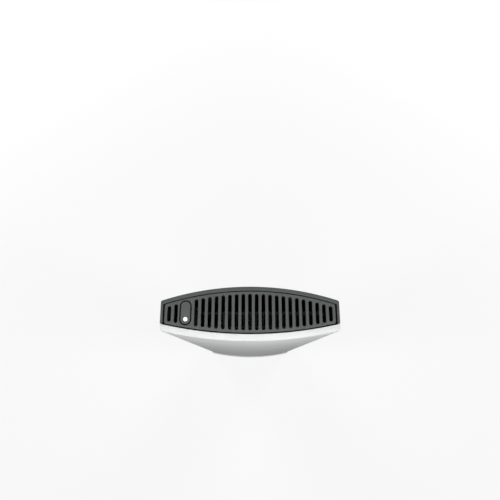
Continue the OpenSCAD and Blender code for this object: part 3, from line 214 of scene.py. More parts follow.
def add_node(material, kind, inputs=None, stops=(), **settings):
    """Adds a node with its settings and inputs. A colour ramp takes two stops (position, hex colour)."""
    node = material.node_tree.nodes.new("ShaderNode" + kind)
    for key, value in settings.items():
        setattr(node, key, value)
    fill(material, node, inputs or {})
    for i, (position, colour) in enumerate(stops):
        node.color_ramp.elements[i].position = position
        node.color_ramp.elements[i].color = linear(colour)
    return node


def begin_finish(name, **values):
    """A material with its shader, whose sockets take the values, and the object's coordinates."""
    material = bpy.data.materials.new(name)
    material.use_nodes = True
    material.node_tree.nodes.clear()
    inputs = {key.replace("_", " "): value for key, value in values.items()}
    shader = add_node(material, "BsdfPrincipled", inputs)
    add_node(material, "OutputMaterial", {"Surface": shader})
    return material, shader, add_node(material, "TexCoord").outputs["Object"]


def feed(material, shader, colour, rough, height, strength, distance):
    """Links a finish's patterns: its colour, its roughness, and its height as relief."""
    relief = add_node(material, "Bump", {"Height": height, "Strength": strength, "Distance": distance})
    fill(material, shader, {"Base Color": colour, "Roughness": rough, "Normal": relief})


def sprayed_lacquer(name, dark, light):
    """Silver-white lacquer, sprayed and baked: an even pale silver, with an orange peel that breaks up
    its soft highlight. The flakes are drawn at 0.3 mm, coarser than real ones, so that they show.
    """
    flake_size = 0.0003
    peel_size = 0.0018
    pass_width = 0.06
    material, shader, place = begin_finish(name, IOR=1.38)
    flakes = add_node(material, "TexVoronoi", {"Vector": place, "Scale": 1 / flake_size})
    peel = add_node(material, "TexNoise", {"Vector": place, "Scale": 1 / peel_size, "Detail": 1.0})
    passes = add_node(material, "TexNoise", {"Vector": place, "Scale": 1 / pass_width, "Detail": 2.0})
    blend = add_node(material, "Math", {0: flakes, 1: passes}, operation="MULTIPLY")
    tint = add_node(material, "ValToRGB", {"Fac": blend}, [(0.05, light), (0.5, dark)])
    rough = add_node(material, "MapRange", {"Value": peel, "To Min": 0.76, "To Max": 0.86})
    feed(material, shader, tint, rough, peel, 0.06, 0.0001)
    return material


foot_holes = [(x, 0.0, foot_hole_r, foot_hole_r) for x in (-foot_screw_x, foot_screw_x)]
foot_parts = eased_plate(
    lens_columns(foot_high.x, foot_corner), lens_edge(-foot_lip, -foot_lip, foot_high.x, foot_corner),
    [foot_holes], foot_ease, foot_high.z - foot_low.z)
make_piece("foot_plate_lacquered", moved(foot_parts, (0, 0, foot_high.z)),
           sprayed_lacquer("silver_white_lacquer_on_steel", "#d9dbda", "#e6e8e7"),
           "column", "silver_foot", "foot_plate")

# Foot pads and foot screws
# Four die-cut rubber pads are glued under the plate. Two zinc-plated screws in counterbores hold
# the plate to bosses of the front shell.


def dress(material, *nodes):
    """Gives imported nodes, whose shape is right, their material."""
    for node in nodes:
        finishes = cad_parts[node].data.materials
        finishes.clear()
        finishes.append(material)


def mottled(name, dark, light, grain, rough, strength, spread=0.08, **values):
    """A finish with one grain of that size in metres: its shade, its roughness and its relief vary with
    it. A cloud sixty times as large shifts the shade a quarter as much, as on any real batch.
    """
    material, shader, place = begin_finish(name, **values)
    grit = add_node(material, "TexNoise", {
        "Vector": place, "Scale": 1 / grain, "Detail": 3.0, "Roughness": 0.6})
    cloud = add_node(material, "TexNoise", {"Vector": place, "Scale": 1 / (60 * grain), "Detail": 2.0})
    shade = add_node(material, "Math", {0: cloud, 1: 0.25, 2: grit}, operation="MULTIPLY_ADD")
    tint = add_node(material, "ValToRGB", {"Fac": shade}, [(0.4, dark), (0.85, light)])
    gloss = add_node(material, "MapRange", {
        "Value": grit, "From Min": 0.3, "From Max": 0.7, "To Min": rough - spread, "To Max": rough + spread})
    feed(material, shader, tint, gloss, grit, strength, grain * 0.2)
    return material


# Die-cut rubber is nearly black and matt, with a fine talc bloom.
dress(mottled("die_cut_rubber", "#161616", "#232323", 0.0006, 0.82, 0.25, IOR=1.52), "foot_pads")
# Zinc plating is a bright, slightly blue grey with a soft, cloudy gloss.
zinc_plate = mottled("zinc_plated_screw_steel", "#8f9297", "#b4b8bd", 0.0004, 0.34, 0.12, Metallic=1.0)


def screw(place, turn, head_r, head_h, shank_r, length):
    """Pan-head screw, its head's face at place and its shank down -z before the turn: rings of a profile.

    The ring of the recess is a plus with arms a long and 2 b wide. Its radius is the smaller of
    a / max(|cos|, |sin|) and b / min(|cos|, |sin|).
    """
    arm = 0.56 * head_r
    slim = 0.17 * head_r
    flat_r = 0.74 * head_r
    dome_h = 0.6 * head_h
    deep = -0.55 * head_h
    corner = math.atan2(slim, arm)
    between = (corner + math.pi / 4) / 2
    quarter = np.array([0, corner, between, math.pi / 4, math.pi / 2 - between, math.pi / 2 - corner])
    angle = (np.arange(4)[:, None] * math.pi / 2 + quarter).ravel()
    along = np.maximum(np.abs(np.cos(angle)), np.abs(np.sin(angle)))
    aside = np.maximum(np.minimum(np.abs(np.cos(angle)), np.abs(np.sin(angle))), 1e-9)
    plus = np.minimum(arm / along, slim / aside)
    bend = np.linspace(0, math.pi / 2, 5)
    round_r = flat_r + (head_r - flat_r) * np.sin(bend)
    round_z = dome_h * (np.cos(bend) - 1)
    outside = np.array([*round_r.tolist(), head_r, shank_r, shank_r, 0])
    radius = np.concatenate([
        [0 * plus, 0.75 * plus, plus], np.broadcast_to(outside[:, None], (len(outside), len(plus)))])
    z = np.array([deep, deep, 0, *round_z.tolist(), -head_h, -head_h, -length, -length])
    height = np.broadcast_to(z[:, None], radius.shape)
    rings = np.stack([radius * np.cos(angle), radius * np.sin(angle), height], -1)
    return moved([(rings.reshape(-1, 3), quads_of(*rings.shape[:2], closed=True))], place, turn)


def set_screws(node, places, turn, sizes, more=()):
    """The screws of one node, all of the same sizes, in zinc-plated steel."""
    parts = [part for place in places for part in screw(place, turn, *sizes)]
    make_piece(node + "_cross_head", [*parts, *more], zinc_plate, "column", "screw_steel", node)


facing_down = [[1, 0, 0], [0, -1, 0], [0, 0, -1]]
# Head radius, head height and shank radius, at tapping size, of an M3 screw.
m3 = (0.00275, 0.0014, 0.00125)
foot_screw_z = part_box("foot_screws")[0].z
set_screws("foot_screws", [(s * foot_screw_x, 0, foot_screw_z) for s in (-1, 1)], facing_down, (*m3, 0.009))

# Front shell
# A dark ABS moulding: one U-shaped channel of the front wall and both end walls, with the arm pad,
# the cable arch, and inside it the bosses, posts and ledges that carry everything else.
shell_low, shell_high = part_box("front_shell")
shell_wall = 0.0024
end_wall = 0.0018
shell_corner = 0.0014
shell_rear_inset = 0.00405
shell_ease = 0.0003
groove_ease = 0.0001
inner_half = half_w - end_wall
grille_thick = 0.0026
rebate = 0.0003
rebate_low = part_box("top_grille")[1].z - grille_thick
arch_half = 0.025
arch_top = 0.034
arch_corner = 0.008
arm_z = 0.3004
arm_half_x = 0.0175
arm_half_z = 0.0375
tunnel_half = 0.0019
insert_r = 0.0028


def front_at(x, inset=0.0):
    """Y of the front arc at x, moved inwards: centre + root of (radius² - x²)."""
    return front_cy + np.sqrt((front_r - inset) ** 2 - np.square(x))


def rear_at(x, inset=0.0):
    """Y of the rear arc at x, moved inwards: centre - root of (radius² - x²)."""
    return rear_cy - np.sqrt((rear_r - inset) ** 2 - np.square(x))


def channel_half(inside):
    """Plan of the channel's right half: pairs of outer and inner points, and where the wall starts in z.

    They follow the end wall, the corner, which has one inner point, and the front arc to the middle.
    At the arch's side a pair stands twice, once for each height at which the wall starts.
    """
    flat_half = half_w - shell_corner
    corner_y = front_cy + math.sqrt((front_r - shell_corner) ** 2 - flat_half**2)
    tangent = math.atan2(flat_half, corner_y - front_cy)
    bend = np.linspace(0, math.pi / 2 - tangent, 9)
    corner = np.stack([flat_half + shell_corner * np.cos(bend), corner_y + shell_corner * np.sin(bend)], 1)
    inner_end = np.array([inside, front_at(inside, shell_wall)])
    ends = np.array([(x, rear_at(x, shell_rear_inset)) for x in (half_w, inside)])
    share = np.linspace(0, 1, 7)[:-1, None]
    spring = np.linspace(0, math.pi / 2, 9)
    even = np.linspace(0, front_r * math.sin(tangent), 45)
    even = even[np.abs(even - arm_half_x) > tunnel_half]
    x = np.concatenate([
        even, arm_half_x + np.array([-tunnel_half, tunnel_half]),
        arch_half - arch_corner + arch_corner * np.sin(spring)])
    x = np.sort(np.append(np.unique(np.round(x, 7)), arch_half))[::-1]
    arc_in_x = np.minimum(x, inside)
    outer = np.concatenate([
        ends[0] + share * (corner[0] - ends[0]), corner[:-1], np.stack([x, front_at(x)], 1)])
    inner = np.concatenate([
        ends[1] + share * (inner_end - ends[1]), np.tile(inner_end, (len(corner) - 1, 1)),
        np.stack([arc_in_x, front_at(arc_in_x, shell_wall)], 1)])
    bow = np.clip(x - (arch_half - arch_corner), 0, arch_corner)
    arch = arch_top - arch_corner + np.sqrt(arch_corner**2 - bow**2)
    starts = np.where(np.arange(len(x)) > np.argmax(x == arch_half), arch, shell_low.z)
    starts = np.concatenate([np.full(len(outer) - len(x), shell_low.z), starts])
    return outer, inner, starts


def channel_wall():
    """The channel: each pair of plan points carries a loop of rows up the outside, over the eased top
    edge and down the inside, with a step beside the grille. A square tunnel is left open behind each insert.
    """
    outer, inner, starts = channel_half(inner_half)
    rebated = channel_half(inner_half + rebate)[1]
    outer, inner, rebated = [
        np.concatenate([plan, plan[-2::-1] * (-1, 1)]) for plan in (outer, inner, rebated)]
    starts = np.concatenate([starts, starts[-2::-1]])
    levels = np.array([arm_z + s * arm_half_z + t * tunnel_half for s in (-1, 1) for t in (-1, 1)])
    levels = np.append(levels, [rebate_low, rebate_low])
    heights = np.stack([
        starts, np.maximum(starts, arch_top - arch_corner),
        *np.broadcast_to(levels[:, None], (len(levels), len(starts)))], 1)
    bend = np.linspace(0, math.pi / 2, 5)
    through = rebated - outer
    through /= np.linalg.norm(through, axis=1)[:, None]
    flanks = []
    for plan, top_plan, ease in ((outer, outer, shell_ease), (inner, rebated, -groove_ease)):
        into = ease * (1 - np.cos(bend))[:, None]
        over = np.broadcast_to(shell_high.z - abs(ease) * (1 - np.sin(bend)), (len(starts), len(bend)))
        rows = np.concatenate([
            np.repeat(plan[:, None], heights.shape[1] - 1, 1), top_plan[:, None],
            top_plan[:, None] + into * through[:, None]], 1)
        flanks.append(np.concatenate([rows, np.concatenate([heights, over], 1)[..., None]], -1))
    grid = np.concatenate([flanks[0], flanks[1][:, ::-1]], 1)
    count, loop = grid.shape[:2]
    faces = quads_of(count, loop, closed=True).reshape(count - 1, loop, 4)
    middle_x = np.abs(outer[1:, 0] + outer[:-1, 0]) / 2
    hit = np.flatnonzero(np.abs(middle_x - arm_half_x) < tunnel_half / 2)
    keep = np.ones((count - 1, loop), bool)
    sides = []
    for row in (2, 4):
        keep[hit, row] = keep[hit, loop - 2 - row] = False
        for k in hit.tolist():
            ring = [(k, row), (k + 1, row), (k + 1, row + 1), (k, row + 1), (k, row)]
            sides += [[a * loop + r, b * loop + t, b * loop + loop - 1 - t, a * loop + loop - 1 - r]
                      for (a, r), (b, t) in zip(ring[:-1], ring[1:])]
    caps = [list(range(loop)), list(range((count - 1) * loop, count * loop))]
    return [(grid.reshape(-1, 3), [*faces[keep].tolist(), *sides, *caps])]


def round_edge(half_x, half_y, corner, middle=(0.0, 0.0)):
    """Edges of a rectangle with round corners: y ± (half - corner + root of (corner² - dx²))."""
    def edges(x):
        share = np.sign(x - middle[0]) * np.clip((np.abs(x - middle[0]) - half_x) / corner + 1, 0, 1)
        lift = np.sqrt(1 - share**2)
        reach = half_y - corner + corner * lift
        return (np.stack([x, middle[1] - reach], 1), np.stack([share, -lift], 1),
                np.stack([x, middle[1] + reach], 1), np.stack([share, lift], 1))
    return edges


def round_columns(half_x, corner, middle_x=0.0):
    """Columns across such a rectangle: even in angle round its corners, and ten between them."""
    bend = half_x - corner + corner * np.sin(np.linspace(0, math.pi / 2, 17))
    return middle_x + np.concatenate([-bend, np.linspace(corner - half_x, half_x - corner, 12), bend])


def turned(profile, centre=(0, 0, 0), steps=32):
    """Turned part: the profile of (radius, height) carried round a standing axis through centre."""
    radius, height = np.array(profile).T
    angle = np.linspace(0, 2 * math.pi, steps, endpoint=False)
    x = centre[0] + radius[:, None] * np.cos(angle)
    y = centre[1] + radius[:, None] * np.sin(angle)
    z = np.broadcast_to(centre[2] + height[:, None], x.shape)
    return [(np.stack([x, y, z], -1).reshape(-1, 3), quads_of(len(radius), steps, closed=True))]


def block(low, high):
    """Six-sided block between two corners."""
    corners = np.array(np.meshgrid(*zip(low, high), indexing="ij")).reshape(3, -1).T
    sides = [[0, 1, 3, 2], [4, 6, 7, 5], [0, 4, 5, 1], [2, 3, 7, 6], [0, 2, 6, 4], [1, 5, 7, 3]]
    return [(corners, np.array(sides))]


def wall_ledge(low_x, high_x, rear_y, low_z, high_z):
    """Ledge on the front wall: a rectangle carried along x whose front edge stays inside the wall."""
    steps = 9
    x = np.linspace(low_x, high_x, steps)
    near = np.full_like(x, rear_y)
    far = front_at(x, shell_wall / 2)
    y = np.stack([near, far, far, near], 1)
    z = np.broadcast_to([low_z, low_z, high_z, high_z], y.shape)
    grid = np.stack([np.broadcast_to(x[:, None], y.shape), y, z], -1)
    caps = [list(range(4)), list(range(4 * steps - 4, 4 * steps))]
    return [(grid.reshape(-1, 3), [*quads_of(steps, 4, closed=True).tolist(), *caps])]


upright = [[1, 0, 0], [0, 0, 1], [0, 1, 0]]
pad_half_x = 0.024
pad_half_z = 0.048
pad_corner = 0.004
pad_deep = 0.0021
pad_lanes = [[(x, z, insert_r, insert_r) for x in (-arm_half_x, arm_half_x)]
             for z in (-arm_half_z, arm_half_z)]
pad = eased_plate(round_columns(pad_half_x, pad_corner), round_edge(pad_half_x, pad_half_z, pad_corner),
                  pad_lanes, shell_ease, pad_deep)
shell_parts = channel_wall() + moved(pad, (0, shell_high.y, arm_z), upright)
# Cups round the inserts and bosses for the tray's screws: profiles of radius and distance to the front.
cup_r = 0.0047
insert_cup = [(0, 0.008), (cup_r, 0.008), (cup_r, 0.013), (insert_r, 0.013), (insert_r, 0.009), (0, 0.009)]
tray_boss = [(0, 0.0012), (0.003, 0.0012), (0.003, 0.0078), (0, 0.0078)]
tray_screw_x = 0.0441
tray_screw_zs = (0.1354, 0.2094, 0.2864)
# Blocks on both end walls: inner x, y and z of the grille's ledge, the panel's ledge and the foot boss.
ledge_low = 0.3454
ledge_high = rebate_low
end_blocks = [(0.0467, -0.003, 0.003, ledge_low, ledge_high), (0.0442, -0.003, 0.005, 0.0984, 0.1014),
              (0.0397, -0.004, 0.004, 0.0040, 0.0160)]
wall_bite = 0.0002
# Catches on the front wall for the grille's clips.
catch_x = 0.024635
catch_half = 0.002
catch_rear = float(front_at(catch_x, shell_wall)) - 0.0026
for s in (-1, 1):
    for t in (-1, 1):
        insert_place = (s * arm_half_x, 0, arm_z + t * arm_half_z)
        shell_parts += moved(turned(insert_cup), insert_place, upright)
    for boss_z in tray_screw_zs:
        shell_parts += moved(turned(tray_boss), (s * tray_screw_x, 0, boss_z), upright)
    for in_x, low_y, high_y, low_z, high_z in end_blocks:
        low_x, high_x = sorted((s * in_x, s * (inner_half + wall_bite)))
        shell_parts += block((low_x, low_y, low_z), (high_x, high_y, high_z))
    x = s * catch_x
    shell_parts += wall_ledge(x - catch_half, x + catch_half, catch_rear, ledge_low, ledge_high)
# The shelf that the button's board is screwed to.
shelf_thick = 0.003
shelf_low, shelf_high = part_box("button_board")
shelf_rear = shelf_low.y + 0.0026
shell_parts += wall_ledge(shelf_low.x, shelf_high.x, shelf_rear, shelf_low.z - shelf_thick, shelf_low.z)
# A spark-eroded mould leaves a fine matt grain, which spreads light softly and hides sink marks.
shell_abs = mottled("spark_eroded_dark_abs", "#4c4f4e", "#565958", 0.0005, 0.7, 0.18, IOR=1.42)
# Inside and down the slots' walls, all mouldings are painted dead black as painted shade, so that seams and
# slots show dark and nothing glints in them.
painted_shade_black = mottled("painted_shade_matt_black", "#121213", "#1b1b1c", 0.0005, 0.8, 0.15, IOR=1.4)


def inside_shell(centres):
    """Faces deeper in than the walls, painted black as shade: by the distance from the front arc and from the
    end faces.
    """
    inset = front_r - np.hypot(centres[:, 0], centres[:, 1] - front_cy)
    return (inset > 0.95 * shell_wall) & (np.abs(centres[:, 0]) < inner_half + rebate + groove_ease)


# Its inner faces are painted black as shade, so that the seam along the grille shows dark.
make_piece("front_shell_moulded", shell_parts, shell_abs, "column", "dark_shell", "front_shell",
           shaded_faces=(painted_shade_black, inside_shell))

# Arm inserts
# Four turned brass inserts, knurled outside and threaded inside, pressed hot into the pad's bosses.
# Free-cutting brass is a warm yellow with fine turning lines.
dress(mottled("turned_brass", "#94783f", "#b89a5c", 0.0003, 0.3, 0.12, Metallic=1.0), "arm_inserts")

# Chassis tray
# A pressed tray of sheet steel, screwed to the shell's bosses, that carries the board and the drive.
# It is powder-coated dark, so that nothing bright shows through the slots above it.
# Powder coat flows into a fine pebble as it bakes.
dark_powder = mottled("dark_powder_coat", "#26282b", "#34363a", 0.0008, 0.62, 0.35, IOR=1.5)
dress(dark_powder, "chassis_tray")
facing_rear = [[1, 0, 0], [0, 0, -1], [0, 1, 0]]
tray_head_y = -0.001
tray_screws = [(s * tray_screw_x, tray_head_y, z) for s in (-1, 1) for z in tray_screw_zs]
set_screws("tray_screws", tray_screws, facing_rear, (*m3, 0.0062))

# Circuit boards
# Glass-fibre laminate under solder mask. The copper tracks below it show as slightly lighter lines,
# and bare tinned pads as small pale dots. The system board is screwed to standoffs on the tray.


def solder_mask(name, dark, light, pitch, face=None, raised="#1d1d1f", metal=0.0):
    """Solder mask over copper: tracks half a pitch wide and 3.7 long, and vias about 2.2 pitches apart.

    What stands to the rear of face, the rear side of the laminate, has the raised colour: a card's chips.
    """
    copper = {"Color1": (0.2, 0.2, 0.2, 1), "Color2": (0.75, 0.75, 0.75, 1), "Mortar": (0, 0, 0, 1)}
    via_r = 0.085
    skin = 0.00002
    material, shader, place = begin_finish(name, IOR=1.55, Coat_Weight=0.3, Coat_Roughness=0.12)
    turn = add_node(material, "Mapping", {"Vector": place, "Rotation": (math.pi / 2, 0, 0)})
    tracks = add_node(material, "TexBrick", {
        "Vector": turn, "Scale": 1 / pitch, **copper,
        "Mortar Size": 0.08, "Brick Width": 3.7, "Row Height": 0.5})
    vias = add_node(material, "TexVoronoi", {"Vector": place, "Scale": 1 / (2.2 * pitch), "Randomness": 0.85})
    tinned = add_node(material, "Math", {0: vias, 1: via_r}, operation="LESS_THAN")
    mask = add_node(material, "ValToRGB", {"Fac": tracks}, [(0.0, dark), (0.75, light)])
    tin = linear("#a9ad9f")
    colour = add_node(material, "Mix", {"Factor": tinned, "A": mask, "B": tin}, data_type="RGBA")
    rough = add_node(material, "MapRange", {"Value": tinned, "To Min": 0.4, "To Max": 0.25})
    if face is not None:
        depth = add_node(material, "SeparateXYZ", {"Vector": place})
        chip = add_node(material, "Math", {0: depth.outputs["Y"], 1: face - skin}, operation="LESS_THAN")
        colour = add_node(material, "Mix", {
            "Factor": chip, "A": colour.outputs["Result"], "B": linear(raised)}, data_type="RGBA")
        rough = add_node(material, "MapRange", {"Value": chip, "To Min": rough, "To Max": 0.5})
        sheen = add_node(material, "MapRange", {"Value": chip, "To Max": metal})
        fill(material, shader, {"Metallic": sheen})
    feed(material, shader, colour.outputs["Result"], rough, tracks, 0.2, 0.00003)
    return material


board_pitch = 0.0016
green_mask = solder_mask("green_solder_mask_on_laminate", "#12341f", "#1c4a2b", board_pitch)
dress(green_mask, "system_board", "processor")
# The small board under the slots is printed black, so that it doesn't show.
dress(solder_mask("black_solder_mask_on_laminate", "#0d0e0f", "#161718", board_pitch), "button_board")
# The same of an M2 screw.
m2 = (0.0019, 0.0012, 0.001)
board_screws = [(s * 0.0439, -0.0044, z) for s in (-1, 1) for z in (0.1214, 0.1654, 0.2730)]
set_screws("board_screws", board_screws, facing_rear, (*m2, 0.0044))

# Plug-in cards
# Memory modules, drive card and radio card are laminates with chips soldered on. Each stands in a
# socket, and a card's free end is screwed to a seat on the board.
card_pitch = 0.0011
card_thick = 0.0008
memory_thick = 0.001
memory_low, memory_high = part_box("lower_memory_module")
memory_face = (memory_low.y + memory_high.y - memory_thick) / 2
dress(solder_mask("memory_laminate_with_chips", "#143a24", "#1f5030", card_pitch, memory_face),
      "lower_memory_module", "upper_memory_module")
card_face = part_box("ssd_card")[1].y - card_thick
dress(solder_mask("drive_card_laminate_with_chips", "#12324a", "#1b4260", card_pitch, card_face), "ssd_card")
# The radio on this card is under a tinned can.
dress(solder_mask("radio_card_laminate_with_can", "#17181a", "#232528", card_pitch, card_face,
                  "#b0b2b4", 1.0), "wifi_card")
m2_low = (0.0019, 0.0008, 0.001)
card_places = [(0.0405, -0.0064, 0.2059), (0.0335, -0.0064, 0.2519)]
seat_r = 0.002
seat = turned([(0, 0.0016), (0.00185, 0.0016), (seat_r, 0.00175), (seat_r, 0.0032), (0, 0.0032)])
set_screws("card_screws", card_places, facing_rear, (*m2_low, 0.0031),
           [part for place in card_places for part in moved(seat, place, upright)])

# Standoffs, chips, chokes and sockets
# Turned brass standoffs are riveted to the tray. Chips and sockets are matt black moulded epoxy and
# nylon. Chokes are pressed grey ferrite powder.
brass_rod = mottled("turned_brass_rod", "#9a7a40", "#c4a362", 0.0003, 0.3, 0.12, Metallic=1.0)
dress(brass_rod, "board_standoffs", "switch_plunger")
# Moulded epoxy has a very fine, dry, even black grain.
epoxy_black = mottled("moulded_black_epoxy", "#19191b", "#262628", 0.0004, 0.58, 0.15, IOR=1.55)
dress(epoxy_black, "board_chips", "memory_sockets", "ssd_socket", "wifi_socket", "coin_holder",
      "power_switch", "audio_jack", "power_inlet")
# Pressed ferrite powder is a dull dark grey with visible specks.
dress(mottled("pressed_ferrite_powder", "#3c3c3f", "#55555a", 0.0006, 0.7, 0.3, IOR=1.6), "power_chokes")
# A coin cell's can is bright stainless steel with a fine drawn grain.
dress(mottled("drawn_stainless_steel", "#b3b5b8", "#cdcfd2", 0.0003, 0.24, 0.08, Metallic=1.0), "coin_cell")

# Cooler
# A milled copper plate under a sprung steel bracket takes the processor's heat. Two sintered copper
# heat pipes carry it to a stack of blackened aluminium fins, sealed to the grille by a foam strip.
# Bare copper darkens unevenly: brown clouds some millimetres wide over a warm pink.
bare_copper = mottled("bare_tarnished_copper", "#9c5a3a", "#cf8a63", 0.0007, 0.32, 0.1, Metallic=1.0)
dress(bare_copper, "cold_plate", "fan_stator")
# Zinc on the bracket's sheet shows a faint frosty spangle.


def spangled_sheet(name, dark, light):
    """Hot-dip zinc on sheet steel: flat grains about 4 mm across, each of its own grey and gloss."""
    grain_size = 0.004
    material, shader, place = begin_finish(name, Metallic=1.0)
    grains = add_node(material, "TexVoronoi", {"Vector": place, "Scale": 1 / grain_size, "Randomness": 1.0})
    fine = add_node(material, "TexNoise", {"Vector": place, "Scale": 10 / grain_size, "Detail": 2.0})
    tone = add_node(material, "SeparateColor", {"Color": grains.outputs["Color"]})
    tint = add_node(material, "ValToRGB", {"Fac": tone.outputs["Red"]}, [(0.0, dark), (1.0, light)])
    rough = add_node(material, "MapRange", {"Value": tone.outputs["Green"], "To Min": 0.3, "To Max": 0.46})
    feed(material, shader, tint, rough, fine, 0.08, 0.00005)
    return material


dress(spangled_sheet("zinc_spangled_sheet_steel", "#8b8f94", "#a5a9ae"), "cooler_bracket")
# Under each screw's head the bracket rests on a sleeve.
cooler_places = [(-0.0259, -0.0098, 0.2220), (0.0101, -0.0098, 0.2508)]
sleeve_r = 0.0019
sleeve = turned([(0, 0.0014), (sleeve_r, 0.0014), (sleeve_r, 0.0066), (0, 0.0066)])
set_screws("cooler_screws", cooler_places, facing_rear, (*m2_low, 0.0074),
           [part for place in cooler_places for part in moved(sleeve, place, upright)])
# The pipes are dipped in thin black lacquer, which runs a little uneven over the bends.
dress(mottled("black_lacquer_on_copper", "#191919", "#242423", 0.0009, 0.42, 0.08, IOR=1.48), "heat_pipes")
# Black anodising leaves the aluminium's rolling grain as a dull sheen.
dress(mottled("black_anodised_aluminium", "#18191b", "#222427", 0.0004, 0.55, 0.1, IOR=1.4), "fin_stack")
# Open-cell foam is black and dead matt, with cells about 0.8 mm wide.
dress(mottled("open_cell_foam", "#0e0e0f", "#1d1d1e", 0.0008, 0.95, 0.8, IOR=1.4), "exhaust_gasket")

# Blower fan
# Housing, cover and impeller are moulded in black glass-filled polyester. The copper stator sits
# under the hub, and the fan's lead is a flat PVC sheath.
fan_polyester = mottled("glass_filled_polyester", "#1e1f21", "#2b2c2f", 0.0005, 0.5, 0.15, IOR=1.57)
dress(fan_polyester, "fan_housing", "fan_cover", "fan_impeller")
fan_screws = [(x, -0.0028, 0.28852) for x in (-0.01109, 0.03529)]
set_screws("fan_screws", fan_screws, facing_rear, (*m2, 0.00315))
# Extruded PVC is smooth and satin, a little lighter where it has rubbed.
pvc_sheath = mottled("extruded_black_pvc", "#151516", "#232324", 0.0008, 0.44, 0.08, IOR=1.54)
dress(pvc_sheath, "fan_cable", "antenna_leads", "drive_cable")

# Storage drive
# A flat drive in a cast and pressed aluminium case, held to the tray by four screws.
# Blasting leaves its skin satin and evenly pale.
blasted_case = mottled("blasted_aluminium_case", "#a3a6aa", "#bcbfc3", 0.0005, 0.4, 0.2, Metallic=1.0)
dress(blasted_case, "storage_drive")
drive_screws = [(s * 0.03086, tray_head_y, z) for s in (-1, 1) for z in (0.1554, 0.2320)]
set_screws("drive_screws", drive_screws, facing_rear, (*m3, 0.0047))

# Antennas
# Two thin laminates of copper foil under amber polyimide film, stuck inside the plastic shell.
# Polyimide is glossy amber, and the foil below glows through it in soft patches.
dress(mottled("polyimide_over_copper_foil", "#7a4a1c", "#9c6428", 0.0012, 0.28, 0.05, IOR=1.7), "antennas")

# Port panel and ports
# A folded steel panel closes the cable bay's ceiling, powder-coated as the tray is. The ports stand
# behind it on the board's lower edge, in stamped and tin-plated steel shells.
dress(dark_powder, "port_panel")
# Tin plating over stamped steel is bright and faintly milky.
dress(mottled("tin_plated_stamped_steel", "#a4a6a9", "#c2c4c7", 0.0005, 0.26, 0.06, Metallic=1.0),
      "network_jack", "usb_a_ports", "usb_c_port")
# The panel's edges are eased: its loose triangles are welded and made whole faces, then rounded.
panel_ease = 0.0003
panel_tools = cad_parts["port_panel"].modifiers
weld = panel_tools.new("weld", "WELD")
weld.merge_threshold = panel_ease / 15
whole = panel_tools.new("whole_faces", "DECIMATE")
whole.decimate_type = "DISSOLVE"
whole.angle_limit = math.radians(0.5)
edge = panel_tools.new("eased_edges", "BEVEL")
edge.width = panel_ease
edge.segments = 3
edge.limit_method = "ANGLE"
edge.angle_limit = math.radians(35)
edge.use_clamp_overlap = False
edge.harden_normals = True
panel_screws = [(s * 0.0461, 0.0034, 0.1034) for s in (-1, 1)]
set_screws("port_panel_screws", panel_screws, np.eye(3), (*m2, 0.0046))

# Button board's ribbon and screws
# A flat flexible ribbon of black polyester film with printed conductors 1 mm apart. Two small screws
# hold the board on its shelf.


def ribbon_film(name, film, track, pitch):
    """Flat flexible cable: conductors show through the film. A wave's pitch is 0.314 over its scale."""
    material, shader, place = begin_finish(name, IOR=1.5)
    scale = 0.314 / pitch
    lines = add_node(material, "TexWave", {"Vector": place, "Scale": scale}, bands_direction="X")
    tint = add_node(material, "ValToRGB", {"Fac": lines.outputs["Fac"]}, [(0.35, film), (0.65, track)])
    rough = add_node(material, "MapRange", {"Value": lines.outputs["Fac"], "To Min": 0.44, "To Max": 0.38})
    feed(material, shader, tint, rough, lines.outputs["Fac"], 0.2, 0.00004)
    return material


dress(ribbon_film("printed_polyester_ribbon", "#161617", "#262523", 0.0010), "button_cable")
heads_low, heads_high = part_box("button_board_screws")
head_r = (heads_high.y - heads_low.y) / 2
head_xs = (heads_low.x + head_r, heads_high.x - head_r)
shelf_screws = [(x, heads_low.y + head_r, heads_high.z) for x in head_xs]
m2_small = (0.0017, 0.0012, 0.001)
set_screws("button_board_screws", shelf_screws, np.eye(3), (*m2_small, 0.005))

# Top grille
# A matt dark ABS panel that snaps into the shell's top edge. Its slots run front to back across
# the lens, all to the same margin, and a round-ended hole in place of two holds the power button.
grille_low, grille_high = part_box("top_grille")
grille_half = grille_high.x
grille_front_inset = 0.0028
grille_rear_inset = 0.0044
grille_margin = 0.0014
grille_corner = 0.0014
slot_pitch = 0.00379
slot_half = 0.001025
slot_ease = 0.00015
button_slots = (-10, -9)
slot_numbers = np.array([i for i in range(-12, 13) if i not in button_slots])
button_low, button_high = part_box("power_button")
button_x = (button_low.x + button_high.x) / 2
button_y = (button_low.y + button_high.y) / 2
hole_half_w = 0.00335
hole_half_l = 0.0070
slot_reach = np.abs(slot_numbers) * slot_pitch + slot_half
slot_front = front_at(slot_reach, grille_front_inset + grille_margin)
slot_rear = rear_at(slot_reach, grille_rear_inset + grille_margin)
slots = [(n * slot_pitch, (f + r) / 2, slot_half, (f - r) / 2)
         for n, f, r in zip(slot_numbers, slot_front, slot_rear)]
grille_lane = sorted([*slots, (button_x, button_y, hole_half_w, hole_half_l)])
grille_parts = moved(eased_plate(
    lens_columns(grille_half, grille_corner, 41),
    lens_edge(grille_front_inset, grille_rear_inset, grille_half, grille_corner),
    [grille_lane], slot_ease, grille_thick), (0, 0, grille_high.z))
# Two clips hook behind the shell's catches: low and high y and high z of a clip's arm and its barb.
clip_half = 0.00077
clip_y = catch_rear - 0.0003
clip_blocks = ((clip_y - 0.0012, clip_y, grille_high.z - 0.002),
               (clip_y - 0.0001, clip_y + 0.0012, grille_low.z + 0.0014))
for x in (-catch_x, catch_x):
    for low_y, high_y, high_z in clip_blocks:
        grille_parts += block((x - clip_half, low_y, grille_low.z), (x + clip_half, high_y, high_z))
